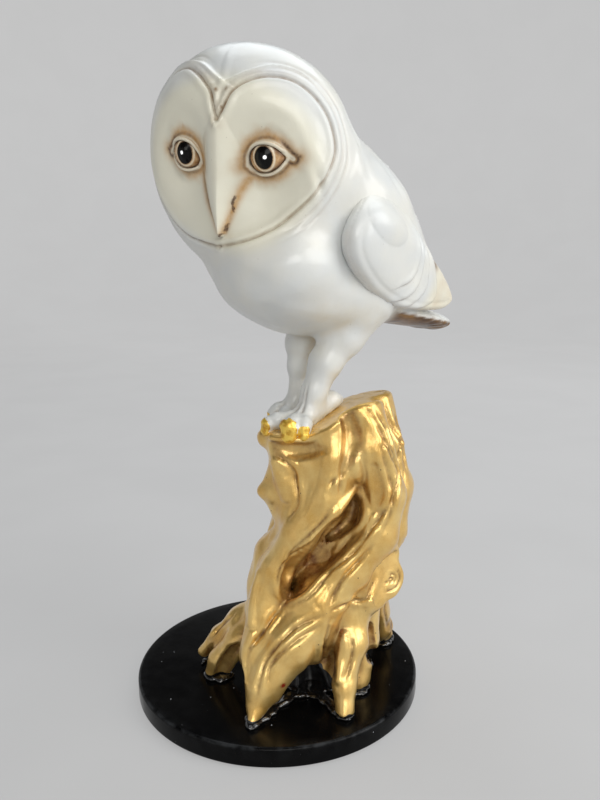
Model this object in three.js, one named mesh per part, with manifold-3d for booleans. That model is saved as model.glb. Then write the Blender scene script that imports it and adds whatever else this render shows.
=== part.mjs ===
// Barn owl figurine: a glazed white owl standing on a gilded stump, which is screwed and bonded
// to a round black plinth. Millimetres, +Z up, origin at the middle of the felt's underside.
// The owl faces -Y and its left side is +X.

import * as THREE from 'three';
import { mergeVertices } from 'three/addons/utils/BufferGeometryUtils.js';
import Module from 'manifold-3d';

const wasm = await Module();
wasm.setup();

// ---- Driving dimensions ----

const GAP = 0.3; // clearance between pieces that touch

const FELT = { radius: 64, thickness: 2 };
const PLINTH = { radius: 70, underside: 0.6, top: 10, topEdge: 1.6, bottomEdge: 1 };
const BED = { top: 11.3, overlap: 3, trunkRadius: 30, middle: [20, -4] };
const STUMP_FOOT = 11.6; // height of the stump's flat underside
const STUMP_TURN = 58; // degrees from the plinth's axes to the stump's own
const TOP_PLANE = { height: 142.5, atX: 38, riseX: 0.24, riseY: 0.1 };

const SCREW = { head: 4.2, shank: 2, tip: 28, headHeight: 2.4, from: 2.9 };
const SCREW_PLACES = [[14, -14], [34, -4], [14, 12]]; // in the stump's own axes
const ROD_RADIUS = 1.5;

const OWL_PLANE = 12; // x of the owl's plane of symmetry
const NECK = [12, 2, 232];
const HEAD = { at: [11.6, -20.4, 256.8], turn: 34, pitch: 18, roll: 6 };
const EYE = { side: 18.4, up: 1.5, out: 10, radius: 8.8 };

// ---- Forms: distance functions, negative inside ----

const degrees = THREE.MathUtils.degToRad;

function axes(x = 0, y = 0, z = 0) {
  const order = new THREE.Matrix4().makeRotationX(degrees(x));
  order.multiply(new THREE.Matrix4().makeRotationY(degrees(y)));
  return order.multiply(new THREE.Matrix4().makeRotationZ(degrees(z)));
}

function ellipsoid(centre, radii, frame = axes()) {
  const middle = new THREE.Vector3(...centre);
  const back = frame.clone().transpose();
  return (p) => {
    const q = p.clone().sub(middle).applyMatrix4(back);
    const k0 = Math.hypot(q.x / radii[0], q.y / radii[1], q.z / radii[2]);
    const k1 = Math.hypot(q.x / radii[0] ** 2, q.y / radii[1] ** 2, q.z / radii[2] ** 2);
    return (k0 * (k0 - 1)) / Math.max(k1, 1e-9);
  };
}

// A chain of round cones. A stop is [x, y, z, radius].
function limb(stops) {
  const links = stops.slice(1).map((end, i) => {
    const start = new THREE.Vector3(...stops[i].slice(0, 3));
    const run = new THREE.Vector3(...end.slice(0, 3)).sub(start);
    return { start, run, square: run.lengthSq(), from: stops[i][3], to: end[3] };
  });
  return (p) => {
    let nearest = Infinity;
    for (const link of links) {
      const q = p.clone().sub(link.start);
      const t = THREE.MathUtils.clamp(q.dot(link.run) / link.square, 0, 1);
      const away = q.addScaledVector(link.run, -t).length();
      nearest = Math.min(nearest, away - THREE.MathUtils.lerp(link.from, link.to, t));
    }
    return nearest;
  };
}

function soften(a, b, reach) {
  const h = Math.max(reach - Math.abs(a - b), 0) / reach;
  return Math.min(a, b) - (h * h * reach) / 4;
}

// Joins forms one after another, each blended over its own reach: [form, reach].
function blend(first, ...rest) {
  return (p) => rest.reduce((d, [form, reach]) => soften(d, form(p), reach), first(p));
}

function scoop(form, tool, reach) {
  return (p) => -soften(-form(p), tool(p), reach);
}

// ---- Turning forms and profiles into closed meshes ----

function closed(geometry) {
  const bare = geometry.clone();
  bare.deleteAttribute('normal');
  bare.deleteAttribute('uv');
  return mergeVertices(bare, 1e-4);
}

function solid(geometry) {
  const shape = closed(geometry);
  const vertProperties = new Float32Array(shape.attributes.position.array);
  const triVerts = new Uint32Array(shape.index.array);
  return new wasm.Manifold(new wasm.Mesh({ numProp: 3, vertProperties, triVerts }));
}

function geometryOf(body) {
  const mesh = body.getMesh();
  const geometry = new THREE.BufferGeometry();
  geometry.setAttribute('position', new THREE.Float32BufferAttribute(mesh.vertProperties, 3));
  geometry.setIndex(Array.from(mesh.triVerts));
  geometry.computeVertexNormals();
  return geometry;
}

// How far a ray from inside a form travels before it leaves it.
function exit(form, from, direction, farthest) {
  const stride = 1.5;
  const at = (t) => form(from.clone().addScaledVector(direction, t));
  let out = stride;
  while (out < farthest && at(out) < 0) out += stride;
  let inside = out - stride;
  for (let i = 0; i < 12; i += 1) {
    const half = (inside + out) / 2;
    if (at(half) < 0) inside = half;
    else out = half;
  }
  return out;
}

// A sphere whose vertices are moved along their own rays onto a form.
function moulded(form, centre, columns, rows, farthest = 130) {
  const sphere = closed(new THREE.SphereGeometry(1, columns, rows).rotateX(Math.PI / 2));
  const from = new THREE.Vector3(...centre);
  const place = sphere.attributes.position;
  for (let i = 0; i < place.count; i += 1) {
    const ray = new THREE.Vector3().fromBufferAttribute(place, i).normalize();
    const far = exit(form, from, ray, farthest);
    const spot = from.clone().addScaledVector(ray, far);
    place.setXYZ(i, spot.x, spot.y, spot.z);
  }
  return solid(sphere);
}

// A cylinder bent along a smooth line through the stops, with their radii.
function taper(stops, grow = 0, sides = 8, perStop = 2) {
  const count = (stops.length - 1) * perStop;
  const line = new THREE.CatmullRomCurve3(stops.map((s) => new THREE.Vector3(...s.slice(0, 3))));
  const tube = closed(new THREE.CylinderGeometry(1, 1, 1, sides, count));
  const place = tube.attributes.position;
  for (let i = 0; i < place.count; i += 1) {
    const t = THREE.MathUtils.clamp(0.5 - place.getY(i), 0, 1);
    const along = line.getTangent(t).normalize();
    const across = new THREE.Vector3(1, 0, 0).addScaledVector(along, -along.x).normalize();
    const third = new THREE.Vector3().crossVectors(along, across);
    const step = Math.min(Math.floor(t * (stops.length - 1)), stops.length - 2);
    const part = t * (stops.length - 1) - step;
    const wide = THREE.MathUtils.lerp(stops[step][3], stops[step + 1][3], part) + grow;
    const spot = line.getPoint(t);
    const end = Math.abs(place.getY(i)) > 0.499 ? Math.sign(place.getY(i)) * -grow : 0;
    spot.addScaledVector(along, end);
    spot.addScaledVector(across, place.getX(i) * wide).addScaledVector(third, place.getZ(i) * wide);
    place.setXYZ(i, spot.x, spot.y, spot.z);
  }
  return solid(tube);
}

function ball(centre, radius) {
  return solid(new THREE.SphereGeometry(radius, 16, 10).translate(...centre));
}

function turned(points, segments = 24) {
  const profile = points.map(([radius, z]) => new THREE.Vector2(radius, z));
  return solid(new THREE.LatheGeometry(profile, segments).rotateX(Math.PI / 2));
}

function rodBetween(stops, grow) {
  return taper([[...stops[0], ROD_RADIUS], [...stops[1], ROD_RADIUS]], grow, 12, 1);
}

function joined(solids) {
  return solids.reduce((whole, next) => whole.add(next));
}

// ---- The stump's own axes: x to the stump's right, y to its back ----

const stumpFrame = new THREE.Matrix4().makeRotationZ(degrees(STUMP_TURN));

function fromStump([x, y, z, ...rest]) {
  const spot = new THREE.Vector3(x, y, z).applyMatrix4(stumpFrame);
  return [spot.x, spot.y, spot.z, ...rest];
}

// ---- Plinth, felt and screws ----

function feltSolid() {
  return turned([[0, 0], [FELT.radius, 0], [FELT.radius, FELT.thickness], [0, FELT.thickness]], 60);
}

function quarter(centre, radius, start, steps = 3) {
  return Array.from({ length: steps + 1 }, (_, i) => {
    const angle = degrees(start + (90 * i) / steps);
    return [centre[0] + radius * Math.cos(angle), centre[1] + radius * Math.sin(angle)];
  });
}

function plinthSolid() {
  const { radius, underside, top, topEdge, bottomEdge } = PLINTH;
  const recess = FELT.thickness + GAP;
  const low = quarter([radius - bottomEdge, underside + bottomEdge], bottomEdge, -90);
  const high = quarter([radius - topEdge, top - topEdge], topEdge, 0);
  const wall = FELT.radius + GAP;
  const profile = [[0, recess], [wall, recess], [wall, underside], ...low, ...high, [0, top]];
  return SCREW_PLACES.reduce((disc, at) => disc.subtract(screwHole(at)), turned(profile, 60));
}

function screwProfile(grow) {
  const { head, shank, tip, headHeight, from } = SCREW;
  const low = grow > 0 ? 0 : from;
  return [
    [0, low],
    [head + grow, low],
    [head + grow, from + 0.5],
    [shank + grow, from + headHeight + grow],
    [shank + grow, tip - 4],
    [0, tip + grow],
  ];
}

function screwSolid([x, y], grow = 0) {
  const [atX, atY] = fromStump([x, y, 0]);
  return turned(screwProfile(grow), 14).translate([atX, atY, 0]);
}

function screwHole(at) {
  return screwSolid(at, GAP);
}

// ---- Stump ----

const TRUNK = [
  [[20, -4, 6, 27], [22, -2, 30, 25], [27, -2, 70, 24], [32, -2, 105, 25], [30, -2, 132, 24]],
  [[49, 4, 146, 9], [55, 0, 125, 10], [58, 0, 103, 11], [56, -2, 82, 10], [51, -8, 72, 8]],
  [[36, -20, 141, 10], [44, -24, 126, 10], [51, -24, 106, 9], [47, -27, 88, 9], [35, -30, 72, 9],
    [20, -32, 57, 11], [7, -38, 40, 11], [-5, -44, 23, 9]],
  [[27, -24, 137, 11], [30, -27, 123, 11], [24, -29, 106, 9], [12, -29, 90, 8], [1, -28, 72, 8],
    [-4, -29, 53, 9], [-8, -36, 34, 8]],
  [[4, -22, 135, 8], [8, -20, 122, 10], [3, -18, 108, 10], [7, -18, 94, 9], [3, -19, 80, 10],
    [-4, -18, 66, 9], [-5, -18, 46, 10]],
  [[20, -12, 131, 10], [4, -15, 131, 8], [-4, -14, 131, 5.5]],
  [[5, -12, 78, 12], [-4, -9, 64, 9], [-3, -8, 46, 10]],
  [[17, -22, 60, 12], [17, -26, 40, 12]],
  [[46, 14, 140, 10], [48, 22, 110, 10], [40, 24, 80, 10], [30, 24, 50, 11]],
  [[28, 20, 134, 10], [30, 24, 105, 10], [20, 22, 75, 10], [8, 20, 50, 10]],
  [[12, 4, 132, 10], [14, 8, 105, 10], [8, 6, 75, 12], [2, 6, 50, 12]],
];
const SPUR = [[8, -14, 112, 9], [0, -13, 106, 6], [-8, -12, 101, 1]];
const KNOT = [[44, -10, 61, 8], [55, -22, 63.5, 6.5]];
const ROOTS = [
  [[8, -36, 42, 10], [-5, -43, 23, 8], [-10, -49, 14, 5], [-13, -53, 9, 2.5]],
  [[-2, -8, 44, 9], [-20, -8, 33, 8], [-33, -6, 21, 6], [-38, -3, 8, 5]],
  [[-3, -14, 42, 9], [-19, -15, 28, 8], [-31, -13, 14, 7], [-33, -12, 8, 6]],
  [[36, -25, 52, 9], [35, -33, 38, 8], [32, -42, 22, 7], [30, -48, 8, 5]],
  [[42, -15, 48, 8], [41, -19, 31, 8], [38, -25, 14, 6], [38, -26, 8, 5]],
  [[49, 3, 42, 7], [54, 12, 22, 6], [57, 22, 8, 4.5]],
  [[29, 25, 46, 9], [26, 34, 24, 8], [24, 44, 8, 5]],
  [[6, 20, 46, 9], [-4, 28, 25, 8], [-12, 36, 8, 5]],
];

function trunkForm() {
  const [core, ...strands] = [...TRUNK, ...ROOTS].map((stops) => limb(stops.map(fromStump)));
  return blend(core, ...strands.map((strand) => [strand, 4]));
}

// The trunk is a cylinder whose rings are pushed out level from a leaning axis onto the form.
function trunkSolid(grow) {
  const form = trunkForm();
  const [low, high] = [STUMP_FOOT - GAP * 2, 156];
  const drum = closed(new THREE.CylinderGeometry(1, 1, high - low, 36, 24).rotateX(Math.PI / 2));
  const place = drum.attributes.position;
  for (let i = 0; i < place.count; i += 1) {
    const flat = new THREE.Vector3(place.getX(i), place.getY(i), 0);
    const z = place.getZ(i) + (low + high) / 2;
    const level = Math.min(z, TOP_PLANE.height - 6);
    const axis = new THREE.Vector3(...fromStump([20 + (level * 10) / 130, -3, level]));
    const far = flat.length() > 0.5 ? exit(form, axis, flat.normalize(), 60) + grow : 0;
    place.setXYZ(i, axis.x + flat.x * far, axis.y + flat.y * far, z);
  }
  return solid(drum);
}

// A large block whose lower face is the sloping top of the stump.
function aboveTop(grow) {
  const { height, atX, riseX, riseY } = TOP_PLANE;
  const block = new THREE.BoxGeometry(200, 200, 60).translate(0, 0, 30);
  const place = block.attributes.position;
  for (let i = 0; i < place.count; i += 1) {
    const [x, y, z] = [place.getX(i) + atX, place.getY(i), place.getZ(i)];
    place.setXYZ(i, ...fromStump([x, y, z + height + grow + riseX * (x - atX) + riseY * y]));
  }
  return solid(block);
}

function stumpSolid(grow = 0) {
  const roots = [...ROOTS, SPUR, KNOT].map((stops) => taper(stops.map(fromStump), grow));
  const floor = new THREE.BoxGeometry(300, 300, 40).translate(0, 0, STUMP_FOOT - grow - 20);
  return joined([trunkSolid(grow), ...roots]).subtract(aboveTop(grow)).subtract(solid(floor));
}

// A thin black bed of adhesive under the stump: a disc with a tongue out to every root's foot.
function bedSolid() {
  const foot = PLINTH.top + GAP;
  const profile = (radius) => [[0, foot], [radius, foot], [radius - 0.8, BED.top], [0, BED.top]];
  const [startX, startY] = fromStump([...BED.middle, 0]);
  const tongues = ROOTS.flatMap((root) => {
    const [endX, endY, , radius] = fromStump(root.at(-1));
    const wide = radius + BED.overlap;
    const reach = Math.hypot(endX - startX, endY - startY);
    const strip = new THREE.BoxGeometry(reach, 2 * wide, BED.top - foot);
    strip.translate(reach / 2, 0, (BED.top + foot) / 2);
    strip.rotateZ(Math.atan2(endY - startY, endX - startX)).translate(startX, startY, 0);
    return [solid(strip), turned(profile(wide), 14).translate([endX, endY, 0])];
  });
  const middle = turned(profile(BED.trunkRadius), 32).translate([startX, startY, 0]);
  return SCREW_PLACES.reduce((sheet, at) => sheet.subtract(screwHole(at)), joined([middle, ...tongues]));
}

// ---- Owl ----

function headFrame() {
  const [turn, pitch, roll] = [HEAD.turn, HEAD.pitch, HEAD.roll].map(degrees);
  const out = new THREE.Vector3(
    Math.cos(pitch) * Math.sin(turn), -Math.cos(pitch) * Math.cos(turn), -Math.sin(pitch));
  const side = new THREE.Vector3(Math.cos(turn), Math.sin(turn), 0);
  const up = new THREE.Vector3().crossVectors(out, side);
  const left = side.clone().multiplyScalar(Math.cos(roll)).addScaledVector(up, -Math.sin(roll));
  const crown = up.clone().multiplyScalar(Math.cos(roll)).addScaledVector(side, Math.sin(roll));
  return new THREE.Matrix4().makeBasis(left, crown, out);
}

const headAxes = headFrame();

function onHead(side, up, out) {
  const spot = new THREE.Vector3(side, up, out).applyMatrix4(headAxes);
  return spot.add(new THREE.Vector3(...HEAD.at)).toArray();
}

function onBody(side, y, z) {
  return [OWL_PLANE + side, y, z];
}

function bodyForm() {
  const back = ellipsoid(onBody(0, 27.5, 226), [33.5, 62.5, 24], axes(-36));
  const breast = ellipsoid(onBody(0, -4.5, 209.5), [34.5, 28, 26]);
  const belly = ellipsoid(onBody(0, 21.5, 196), [30, 35, 20.5]);
  const mantle = ellipsoid(onBody(0, 21, 244), [31, 46, 21], axes(-30));
  const skull = ellipsoid(onHead(0.4, 1.2, -7.3), [45, 39.6, 27.2], headAxes);
  const face = ellipsoid(onHead(0.7, -13, 2.2), [40.8, 41.2, 19.8], headAxes);
  const whole = blend(back, [breast, 14], [belly, 12], [mantle, 12], [blend(skull, [face, 8]), 9]);
  const dishes = [-1, 1].map((s) => ellipsoid(onHead(s * 20, -1, 47), [26, 33, 34], headAxes));
  const faced = dishes.reduce((form, dish) => scoop(form, dish, 9), whole);
  const beak = limb([[...onHead(0, 14, 17), 4], [...onHead(0, -10, 21), 4.5], [...onHead(0, -26, 26), 2.5]]);
  return blend(faced, [beak, 4]);
}

const WING = { at: [28.2, 40.6, 211.3], radii: [8, 43.5, 24.6], tilt: -24, toe: 14 };

// A wing: a flattened pod, higher at the shoulder and drawn out to a tip at the tail.
function wingSolid(side, grow = 0) {
  const { at, radii, tilt, toe } = WING;
  const pod = new THREE.SphereGeometry(1, 18, 12);
  const place = pod.attributes.position;
  for (let i = 0; i < place.count; i += 1) {
    const along = place.getY(i);
    const slim = along > 0 ? 1 - 0.35 * along * along : 1;
    const point = along > 0.6 ? 1 + 0.25 * (along - 0.6) : 1;
    const wide = (value, k) => value * (radii[k] + grow);
    place.setXYZ(i, wide(place.getX(i), 0), wide(along * point, 1), wide(place.getZ(i) * slim, 2));
  }
  pod.applyMatrix4(axes(tilt).multiply(axes(0, 0, toe)));
  pod.translate(...at);
  const left = solid(pod);
  return (side > 0 ? left : left.mirror([1, 0, 0])).translate([OWL_PLANE, 0, 0]);
}

function tailSolid() {
  const fan = new THREE.SphereGeometry(1, 14, 10).scale(17, 31.2, 5);
  fan.applyMatrix4(axes(-11)).translate(...onBody(0, 65.6, 183.6));
  return solid(fan);
}

const LEGS = {
  left: [[11, 7, 142.5, 4.6], [11, 10.5, 152, 5], [11, 16, 166, 7], [12, 23, 178, 10.5], [13, 31, 192, 15]],
  right: [[-11, 10, 142, 4], [-11, 13, 150, 4.2], [-11, 13.3, 161.5, 5], [-11, 16, 173, 8.5], [-12, 22, 188, 13]],
};
const TOE_SPREAD = [-30, 0, 30];
const TOE = { reach: 19, drop: 7, root: 4.2, knuckle: 3.6, claw: 3 };
const RODS = {
  left: [[23, -2.5, 124], [24, 34, 200]],
  right: [[1, 12.4, 126], [1, 16, 196]],
};

function toeStops([x, y, z], spread) {
  const [sin, cos] = [Math.sin(degrees(spread)), Math.cos(degrees(spread))];
  const at = (reach, fall, radius) => [x + reach * sin, y - reach * cos, z - fall, radius];
  return [
    at(0, 0, TOE.root),
    at(TOE.reach * 0.55, TOE.drop * 0.3, TOE.knuckle),
    at(TOE.reach, TOE.drop, TOE.claw),
  ];
}

// Both legs and feet: three toes forward and one back on each.
function legSolid(leg, grow) {
  const stops = leg.map(([side, y, z, radius]) => [...onBody(side, y, z), radius]);
  const foot = stops[0];
  const sole = [foot[0], foot[1], foot[2] - 0.5];
  const toes = TOE_SPREAD.map((spread) => taper(toeStops(sole, spread), grow));
  const heel = taper([[...sole, 4], [foot[0], foot[1] + 9, foot[2] + 1.5, 3.4],
    [foot[0], foot[1] + 17, foot[2] + 1.5, 2.2]], grow);
  return joined([taper(stops, grow, 10), heel, ...toes]);
}

function legsSolid(grow = 0) {
  return legSolid(LEGS.left, grow).add(legSolid(LEGS.right, grow));
}

function eyeCentre(side) {
  return onHead(side * EYE.side, EYE.up, EYE.out);
}

function owlSolid() {
  const torso = moulded(bodyForm(), NECK, 44, 36);
  const whole = joined([torso, tailSolid(), legsSolid()]);
  const pockets = [-1, 1].flatMap((s) => [wingSolid(s, GAP), ball(eyeCentre(s), EYE.radius + GAP)]);
  const bores = [rodBetween(RODS.left, GAP), rodBetween(RODS.right, GAP)];
  return [...pockets, ...bores].reduce((body, tool) => body.subtract(tool), whole);
}

function stumpFitted() {
  const bores = [rodBetween(RODS.left, GAP), rodBetween(RODS.right, GAP)];
  const tools = [legsSolid(GAP), ...bores, ...SCREW_PLACES.map(screwHole)];
  return tools.reduce((body, tool) => body.subtract(tool), stumpSolid());
}

// ---- Materials ----

function finish(color, roughness, metalness = 0) {
  return new THREE.MeshStandardMaterial({ color, roughness, metalness });
}

const finishes = {
  glaze: finish(0xe9e8e4, 0.22),
  gold: finish(0xc8912e, 0.3, 0.9),
  lacquer: finish(0x0b0b0c, 0.25),
  adhesive: finish(0x060606, 0.12),
  felt: finish(0x1c1c1e, 0.95),
  steel: finish(0x9a9c9f, 0.35, 1),
  zinc: finish(0xb7b6ad, 0.4, 1),
  eye: finish(0x090706, 0.06),
};

// ---- Assembly ----

const figurine = new THREE.Group();

function add(name, body, material) {
  const mesh = new THREE.Mesh(geometryOf(body), material);
  mesh.name = name;
  figurine.add(mesh);
}

add('base_felt', feltSolid(), finishes.felt);
add('plinth', plinthSolid(), finishes.lacquer);
add('adhesive_bed', bedSolid(), finishes.adhesive);
SCREW_PLACES.forEach((at, i) => add(`plinth_screw_${i + 1}`, screwSolid(at), finishes.zinc));
add('stump', stumpFitted(), finishes.gold);
add('leg_rod_left', rodBetween(RODS.left, 0), finishes.steel);
add('leg_rod_right', rodBetween(RODS.right, 0), finishes.steel);
add('owl_body', owlSolid(), finishes.glaze);
add('wing_left', wingSolid(1), finishes.glaze);
add('wing_right', wingSolid(-1), finishes.glaze);
add('eye_left', ball(eyeCentre(1), EYE.radius), finishes.eye);
add('eye_right', ball(eyeCentre(-1), EYE.radius), finishes.eye);

export default figurine;
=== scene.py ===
"""Barn owl figurine: a glazed white owl on a gilded stump, fixed to a black lacquered plinth.

The owl and the stump are worked out as distance forms in millimetres, in the frame's own axes,
turned into meshes, and then given their ridges, grooves and feathers point by point.
"""

import itertools
import math

import bmesh
import bpy
import numpy as np
from mathutils import Euler, Matrix, Vector


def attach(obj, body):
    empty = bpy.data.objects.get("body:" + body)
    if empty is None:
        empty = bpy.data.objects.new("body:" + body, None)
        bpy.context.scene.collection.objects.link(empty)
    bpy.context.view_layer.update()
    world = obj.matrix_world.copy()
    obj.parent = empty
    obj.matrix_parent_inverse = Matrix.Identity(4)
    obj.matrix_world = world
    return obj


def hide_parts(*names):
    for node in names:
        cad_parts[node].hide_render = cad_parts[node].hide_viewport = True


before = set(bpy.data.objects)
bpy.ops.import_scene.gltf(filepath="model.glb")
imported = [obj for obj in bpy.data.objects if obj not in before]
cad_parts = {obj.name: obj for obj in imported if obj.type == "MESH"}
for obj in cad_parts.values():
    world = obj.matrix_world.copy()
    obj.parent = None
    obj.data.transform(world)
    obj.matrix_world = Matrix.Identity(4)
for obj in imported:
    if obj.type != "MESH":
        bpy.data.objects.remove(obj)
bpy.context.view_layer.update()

MM = 0.001

# ---- Sizes, mm and degrees ----

OWL_PLANE = 12.0
HEAD_AT = np.array([11.6, -20.4, 256.8])
HEAD_TURN, HEAD_PITCH, HEAD_ROLL = 34.0, 18.0, 6.0
EYE_SIDE, EYE_UP, EYE_OUT = 17.8, 2.8, 10.8

STUMP_TURN = 58.0
STUMP_FOOT = 11.6
PLINTH_TOP = 10.0
PLINTH_RADIUS = 70.0

# Side of a mesh cell on each form, quick and full.
CELLS = {"owl": (1.7, 1.25), "eye": (0.5, 0.32), "wing": (1.4, 1.0), "stump": (2.0, 1.45),
         "bed": (1.2, 0.8)}
# Opposite corners of the boxes in which the forms lie.
OWL_BOX = (-34, -64, 124), (62, 114, 302)
STUMP_BOX = (-62, -72, 7), (92, 92, 158)
BED_BOX = (-62, -72, 9), (80, 80, 15)
WING_HALF = np.array([26, 52, 42])
EYE_HALF = 11

CAMERA_AT = (0.3031, -0.1748, 0.2177)
CAMERA_AZIMUTH, CAMERA_DOWN, CAMERA_ROLL = 58.0, 11.65, -0.45
CAMERA_LENS = 33.75


# ---- Vectors and distance forms: negative inside ----

def cell(form):
    quick, full = CELLS[form]
    return full


def length(a):
    return np.sqrt((a * a).sum(-1))


def turn(axis, angle):
    c, s = math.cos(math.radians(angle)), math.sin(math.radians(angle))
    rows = {
        "x": [[1, 0, 0], [0, c, -s], [0, s, c]],
        "z": [[c, -s, 0], [s, c, 0], [0, 0, 1]],
    }
    return np.array(rows[axis], float)


def soft_min(a, b, reach):
    """The nearer of two forms, blended where they are within reach of each other."""
    h = np.maximum(reach - np.abs(a - b), 0.0) / reach
    return np.minimum(a, b) - h * h * reach / 4


def soft_max(a, b, reach):
    return -soft_min(-a, -b, reach)


def ramp(x, low, high):
    """0 up to low, 1 from high on, and a smooth step between."""
    t = np.clip((x - low) / (high - low), 0.0, 1.0)
    return t * t * (3 - 2 * t)


def bell(x, width):
    return np.exp(-((x / width) ** 2))


def ellipsoid(p, centre, radii, axes=None):
    q = p - np.asarray(centre, float)
    if axes is not None:
        q = q @ axes
    r = np.asarray(radii, float)
    k0 = length(q / r)
    k1 = length(q / (r * r))
    return k0 * (k0 - 1) / np.maximum(k1, 1e-9)


def limb(p, stops, reach=0.0):
    """A chain of round cones. A stop is (x, y, z, radius)."""
    total = None
    for start, end in zip(stops[:-1], stops[1:]):
        a, b = np.array(start[:3], float), np.array(end[:3], float)
        run = b - a
        t = np.clip(((p - a) @ run) / (run @ run), 0, 1)
        d = length(p - a - t[..., None] * run) - (start[3] + (end[3] - start[3]) * t)
        if total is None:
            total = d
        else:
            total = np.minimum(total, d) if reach == 0 else soft_min(total, d, reach)
    return total


def smooth_line(points, per=8):
    """Catmull-Rom through the points, which may carry extra columns such as a radius."""
    p = np.asarray(points, float)
    p = np.vstack([2 * p[0] - p[1], p, 2 * p[-1] - p[-2]])
    out = []
    for i in range(1, len(p) - 2):
        a, b, c, d = p[i - 1], p[i], p[i + 1], p[i + 2]
        for t in np.linspace(0, 1, per, endpoint=False):
            out.append(0.5 * (2 * b + (c - a) * t + (2 * a - 5 * b + 4 * c - d) * t**2
                              + (3 * b - a - 3 * c + d) * t**3))
    out.append(p[-2])
    return np.array(out)


def smooth_loop(points, per=8):
    p = np.asarray(points, float)
    wrapped = np.vstack([p[-2:], p, p[:2]])
    line = smooth_line(wrapped, per)
    return line[2 * per:-(2 * per)]


def ringed(profile, sides):
    """Points and quads of a form turned round the z axis, from a profile of (radius, z)."""
    points, faces = [], []
    for radius, z in profile:
        for angle in np.arange(sides) * 2 * math.pi / sides:
            points.append((radius * math.cos(angle), radius * math.sin(angle), z))
    for start in range(0, (len(profile) - 1) * sides, sides):
        for i in range(sides):
            j = (i + 1) % sides
            faces.append((start + i, start + j, start + sides + j, start + sides + i))
    return points, faces


# ---- Forms into meshes ----

CORNERS = list(itertools.product((0, 1), repeat=3))


def surface_net(field, low, step):
    """One vertex in each cell that the surface crosses, joined into quads."""
    shape = field.shape
    inside = field < 0
    count = np.zeros([n - 1 for n in shape], np.int8)
    for i, j, k in CORNERS:
        count += inside[i:shape[0] - 1 + i, j:shape[1] - 1 + j, k:shape[2] - 1 + k]
    crossed = (count > 0) & (count < 8)
    number = -np.ones(crossed.shape, np.int64)
    cells = np.argwhere(crossed)
    number[crossed] = np.arange(len(cells))
    total, hits = np.zeros((len(cells), 3)), np.zeros(len(cells))
    for a, b in itertools.combinations(np.array(CORNERS)[:, ::-1], 2):
        if np.abs(a - b).sum() != 1:
            continue
        fa = field[tuple((cells + a).T)]
        fb = field[tuple((cells + b).T)]
        cut = (fa < 0) != (fb < 0)
        t = np.where(cut, fa / np.where(cut, fa - fb, 1), 0)
        spot = cells + a + t[:, None] * (b - a)
        total[cut] += spot[cut]
        hits[cut] += 1
    points = low + step * total / hits[:, None]
    quads = []
    for axis in range(3):
        one, two = [k for k in range(3) if k != axis]
        here, there = [slice(None)] * 3, [slice(None)] * 3
        here[axis], there[axis] = slice(0, -1), slice(1, None)
        edges = np.argwhere(inside[tuple(here)] != inside[tuple(there)])
        for k in (one, two):
            edges = edges[(edges[:, k] > 0) & (edges[:, k] < shape[k] - 1)]
        leaving = inside[tuple(edges.T)]
        back_one, back_two = np.zeros(3, int), np.zeros(3, int)
        back_one[one], back_two[two] = 1, 1
        corner = [edges - back_one - back_two, edges - back_two, edges, edges - back_one]
        quad = np.stack([number[tuple(c.T)] for c in corner], 1)
        if axis == 1:
            leaving = ~leaving
        quad[~leaving] = quad[~leaving][:, ::-1]
        quads.append(quad)
    return points, np.vstack(quads)


def polygonise(form, low, high, step, block=4, margin=2.0):
    """Samples the form finely only in the blocks that its surface may cross."""
    low = np.asarray(low, float)
    blocks = np.ceil((np.asarray(high, float) - low) / (step * block)).astype(int)
    size = step * block
    centres = [low[k] + size * (np.arange(blocks[k]) + 0.5) for k in range(3)]
    grid = np.stack(np.meshgrid(*centres, indexing="ij"), -1).reshape(-1, 3)
    coarse = form(grid).reshape(blocks)
    near = np.abs(coarse) < size * 0.87 + margin
    field = np.repeat(np.repeat(np.repeat(coarse, block, 0), block, 1), block, 2)
    fine = np.repeat(np.repeat(np.repeat(near, block, 0), block, 1), block, 2)
    wide = np.zeros([n + 1 for n in field.shape], bool)
    full = np.full(wide.shape, 50.0)
    full[:-1, :-1, :-1] = np.where(field < 0, -50.0, 50.0)
    for i, j, k in CORNERS:
        wide[i:field.shape[0] + i, j:field.shape[1] + j, k:field.shape[2] + k] |= fine
    index = np.argwhere(wide)
    values = np.empty(len(index))
    for start in range(0, len(index), 300000):
        part = slice(start, start + 300000)
        values[part] = form(low + step * index[part])
    full[wide] = values
    return surface_net(full, low, step)


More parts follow.
